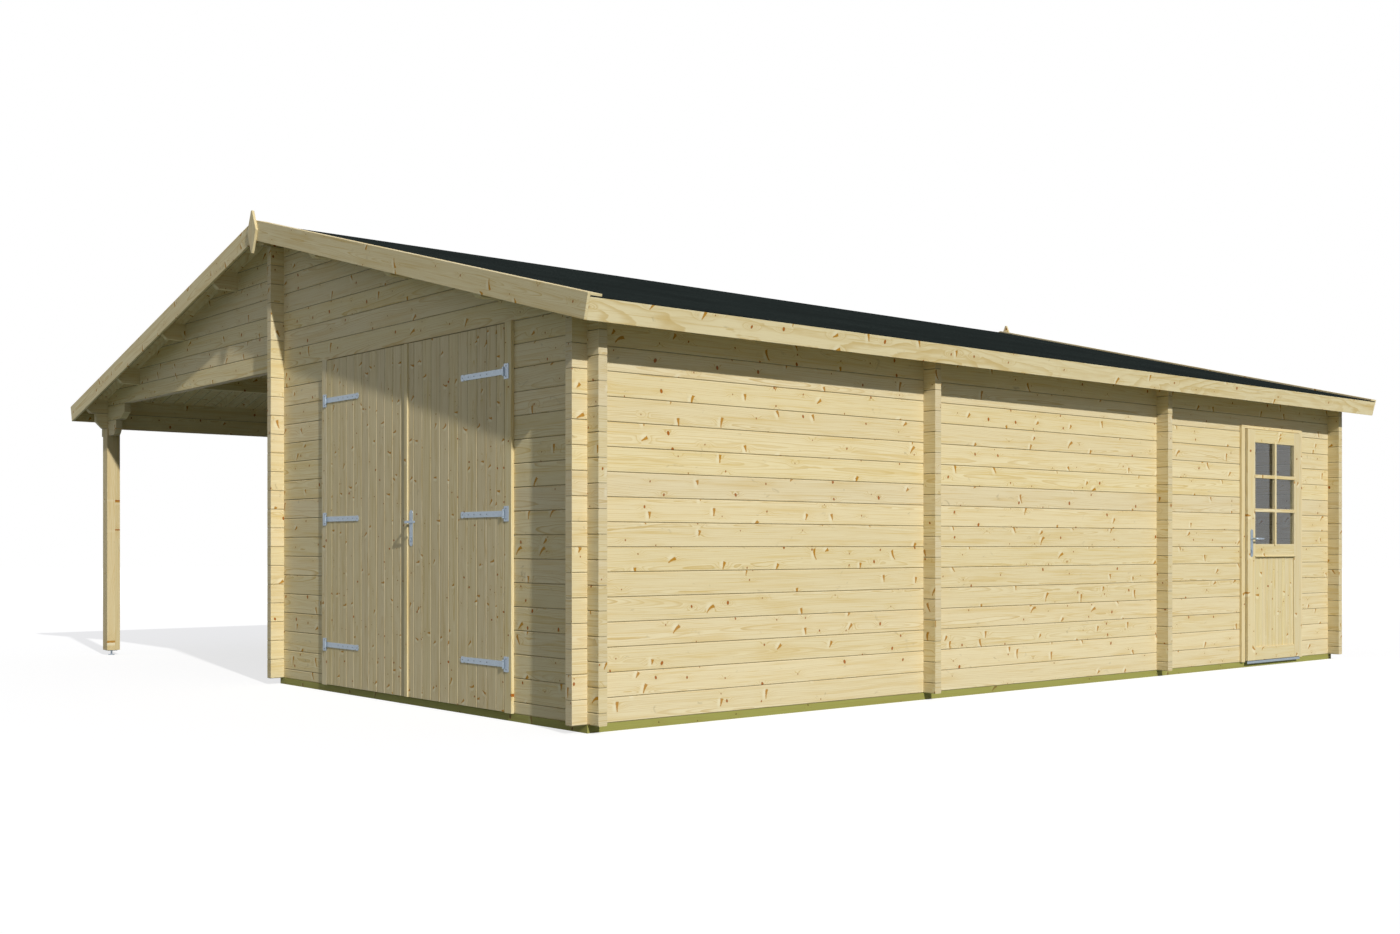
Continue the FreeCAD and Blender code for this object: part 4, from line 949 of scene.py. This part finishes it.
def swept(shape, put, stations, count=18):
    """A bar through stations of (out, along, up, half depth, half height), round in section."""
    rings = []
    for number, (out, along, up, deep, high) in enumerate(stations):
        before = stations[max(number - 1, 0)]
        after = stations[min(number + 1, len(stations) - 1)]
        run = Vector((after[0] - before[0], after[1] - before[1])).normalized()
        ring = []
        for k in range(count):
            side = deep * math.cos(math.tau * k / count)
            rise = high * math.sin(math.tau * k / count)
            ring.append(shape.verts.new(put(out + side * run.y, along - side * run.x, up + rise)))
        rings.append(ring)
    for lower, upper in zip(rings, rings[1:]):
        for k in range(count):
            shape.faces.new((lower[k], lower[k - 1], upper[k - 1], upper[k]))
    shape.faces.new(rings[0])
    shape.faces.new(rings[-1])


def lever_handle(name, centre, outward, along):
    """A long plate with rounded ends, a bent lever and a keyed lock cylinder below it."""
    ox, oy = outward
    ax, ay = along
    x, y, z = centre

    def put(out, run, up):
        return x + ox * out + ax * run, y + oy * out + ay * run, z + up

    def flat(a, b, depth):
        return put(depth, a, b)

    def build(shape):
        slab(shape, rounded_plate(0.0199, 0.1129, 0.0185, 8), flat, 0.0, 0.003, 0.0010)
        rise = 0.037
        lever = [(0.003, 0.0, rise, 0.0115, 0.0115), (0.007, 0.0, rise, 0.0110, 0.0110),
                 (0.009, 0.0, rise, 0.0080, 0.0080), (0.034, 0.0, rise, 0.0070, 0.0075),
                 (0.042, 0.002, rise, 0.0070, 0.0080), (0.0475, 0.008, rise, 0.0058, 0.0084),
                 (0.0495, 0.018, rise, 0.0048, 0.0088), (0.0500, 0.060, rise, 0.0042, 0.0080),
                 (0.0490, 0.098, rise, 0.0040, 0.0070), (0.0450, 0.1120, rise, 0.0042, 0.0072),
                 (0.0400, 0.1170, rise, 0.0040, 0.0070)]
        swept(shape, put, lever)
        lock = -0.067
        outline = [(0.0085 * math.cos(math.radians(turn)),
                    lock + 0.010 + 0.0085 * math.sin(math.radians(turn)))
                   for turn in range(-50, 231, 20)]
        outline += [(-0.0050, lock - 0.012), (-0.0035, lock - 0.0155), (0.0, lock - 0.0165),
                    (0.0035, lock - 0.0155), (0.0050, lock - 0.012)]
        slab(shape, outline, flat, 0.003, 0.0085, 0.0008)
        keyhole = [(-0.0008, lock + 0.0060), (0.0008, lock + 0.0060), (0.0008, lock + 0.0140),
                   (-0.0008, lock + 0.0140)]
        slab(shape, keyhole, flat, 0.0085, 0.00875, 0.0001)
        for up in (-0.098, 0.098):
            disc = [(0.0040 * math.cos(math.tau * k / SCREW_SIDES),
                     up + 0.0040 * math.sin(math.tau * k / SCREW_SIDES))
                    for k in range(SCREW_SIDES)]
            slab(shape, disc, flat, 0.003, 0.0042, 0.0008)

    body = body_of(frame["nodes"][name])[0]
    mesh = shaped(name + " bent", build)
    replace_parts(add_piece(name + "_bent", mesh, body, "zinc"), name)


lever_handle("garage_door_handle", (1.910, LEAF_FRONT, 1.108), (0, -1), (1, 0))
lever_handle("side_door_handle", (3.790, 2.6365, 1.020), (1, 0), (0, 1))


def ease_edges(name, finish, reach=0.0018):
    """A copy of a sawn piece with its long sharp edges rounded over, as a planer leaves them."""
    node = frame["nodes"][name]
    shape = bmesh.new()
    shape.from_mesh(node.data)
    bmesh.ops.remove_doubles(shape, verts=shape.verts, dist=0.00001)
    bmesh.ops.dissolve_limit(shape, angle_limit=math.radians(1), verts=shape.verts,
                             edges=shape.edges)
    sharp = [edge for edge in shape.edges if len(edge.link_faces) == 2
             and edge.calc_face_angle() > math.radians(25) and edge.is_convex]
    bmesh.ops.bevel(shape, geom=sharp, offset=reach, segments=2, profile=0.6, affect="EDGES",
                    clamp_overlap=True)
    mesh = bpy.data.meshes.new(name + " eased")
    shape.to_mesh(mesh)
    shape.free()
    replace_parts(add_piece(name + "_eased", mesh, body_of(node)[0], finish), name)


EASED = {
    "barge boards": ("front_barge_boards", "rear_barge_boards", "cover_strips"),
    "eave boards": ("eave_boards",),
    "uprights": ("finials", "garage_door_jambs", "garage_door_astragal"),
    "posts": ("carport_posts",),
    "logs across": ("post_head_logs",),
    "purlins": ("purlins_left", "purlins_right"),
    "side frame": ("side_door_frame",),
    "side leaf": ("side_door_leaf",),
    "pane bars": ("side_door_bars",),
}
for finish, names in EASED.items():
    for name in names:
        ease_edges(name, finish)


# Floor, light and camera
def seen_directly(n):
    """1 for the rays that show the background, 0 for those that light the building."""
    rays = n.add("ShaderNodeLightPath")
    direct = n.math("MAXIMUM", rays.outputs["Is Camera Ray"], rays.outputs["Is Glossy Ray"])
    return n.math("MAXIMUM", direct, rays.outputs["Is Transmission Ray"])


FLOOR_RADIUS = 60
FLOOR_SIDES = 64
floor_mesh = bpy.data.meshes.new("studio_floor")
ring = [(FLOOR_RADIUS * math.cos(math.tau * k / FLOOR_SIDES),
         FLOOR_RADIUS * math.sin(math.tau * k / FLOOR_SIDES), 0.0) for k in range(FLOOR_SIDES)]
floor_mesh.from_pydata(ring, [], [tuple(range(FLOOR_SIDES))])
studio_floor = bpy.data.objects.new("studio_floor", floor_mesh)
bpy.context.scene.collection.objects.link(studio_floor)
floor_material, n = fresh_material("pale studio floor")
x, y = n.place()[:2]
far = n.math("SQRT", n.plus(n.times(x, x), n.times(y, y)))
glow = n.add("ShaderNodeEmission")
glow.inputs[0].default_value = (1.0, 1.0, 1.0, 1)
glow.inputs[1].default_value = 1.15
pale = n.add("ShaderNodeBsdfDiffuse")
pale.inputs[0].default_value = (0.98, 0.98, 0.98, 1)
shown = n.add("ShaderNodeMixShader")
n.feed(shown.inputs[0], n.step_between(far, 8.0, 26.0, 0.62, 1.0))
n.feed(shown.inputs[1], pale.outputs[0])
n.feed(shown.inputs[2], glow.outputs[0])
dim = n.add("ShaderNodeBsdfDiffuse")
dim.inputs[0].default_value = (0.160, 0.205, 0.175, 1)
both = n.add("ShaderNodeMixShader")
n.feed(both.inputs[0], seen_directly(n))
n.feed(both.inputs[1], dim.outputs[0])
n.feed(both.inputs[2], shown.outputs[0])
out = n.add("ShaderNodeOutputMaterial")
n.feed(out.inputs[0], both.outputs[0])
floor_mesh.materials.append(floor_material)

world = bpy.data.worlds.new("studio surround")
world.use_nodes = True
bpy.context.scene.world = world
n = Bench(world.node_tree)
n.tree.nodes.clear()
soft = n.add("ShaderNodeBackground")
soft.inputs[0].default_value = (0.86, 0.875, 1.00, 1)
soft.inputs[1].default_value = 0.34
white = n.add("ShaderNodeBackground")
white.inputs[0].default_value = (1.0, 1.0, 1.0, 1)
both = n.add("ShaderNodeMixShader")
n.feed(both.inputs[0], seen_directly(n))
n.feed(both.inputs[1], soft.outputs[0])
n.feed(both.inputs[2], white.outputs[0])
out = n.add("ShaderNodeOutputWorld")
n.feed(out.inputs[0], both.outputs[0])

key_data = bpy.data.lights.new("key_lamp", "SUN")
key_data.energy = 3.05
key_data.color = (1.0, 0.985, 0.95)
key_data.angle = math.radians(1.1)
key_lamp = bpy.data.objects.new("key_lamp", key_data)
towards = Vector((1.0, -0.21, 0.623))
key_lamp.rotation_euler = towards.to_track_quat("Z", "Y").to_euler()
bpy.context.scene.collection.objects.link(key_lamp)

camera_data = bpy.data.cameras.new("photo_camera")
camera_data.lens = 38.09
camera_data.sensor_width = 36.0
camera_data.sensor_fit = "HORIZONTAL"
camera_data.shift_y = 0.0566
camera_data.clip_end = 200.0
camera = bpy.data.objects.new("photo_camera", camera_data)
camera.location = (10.1333, -8.6901, 0.9948)
camera.rotation_euler = (math.radians(90), 0.0, math.radians(49.676))
bpy.context.scene.collection.objects.link(camera)
bpy.context.scene.camera = camera
bpy.context.scene.view_settings.view_transform = "Standard"
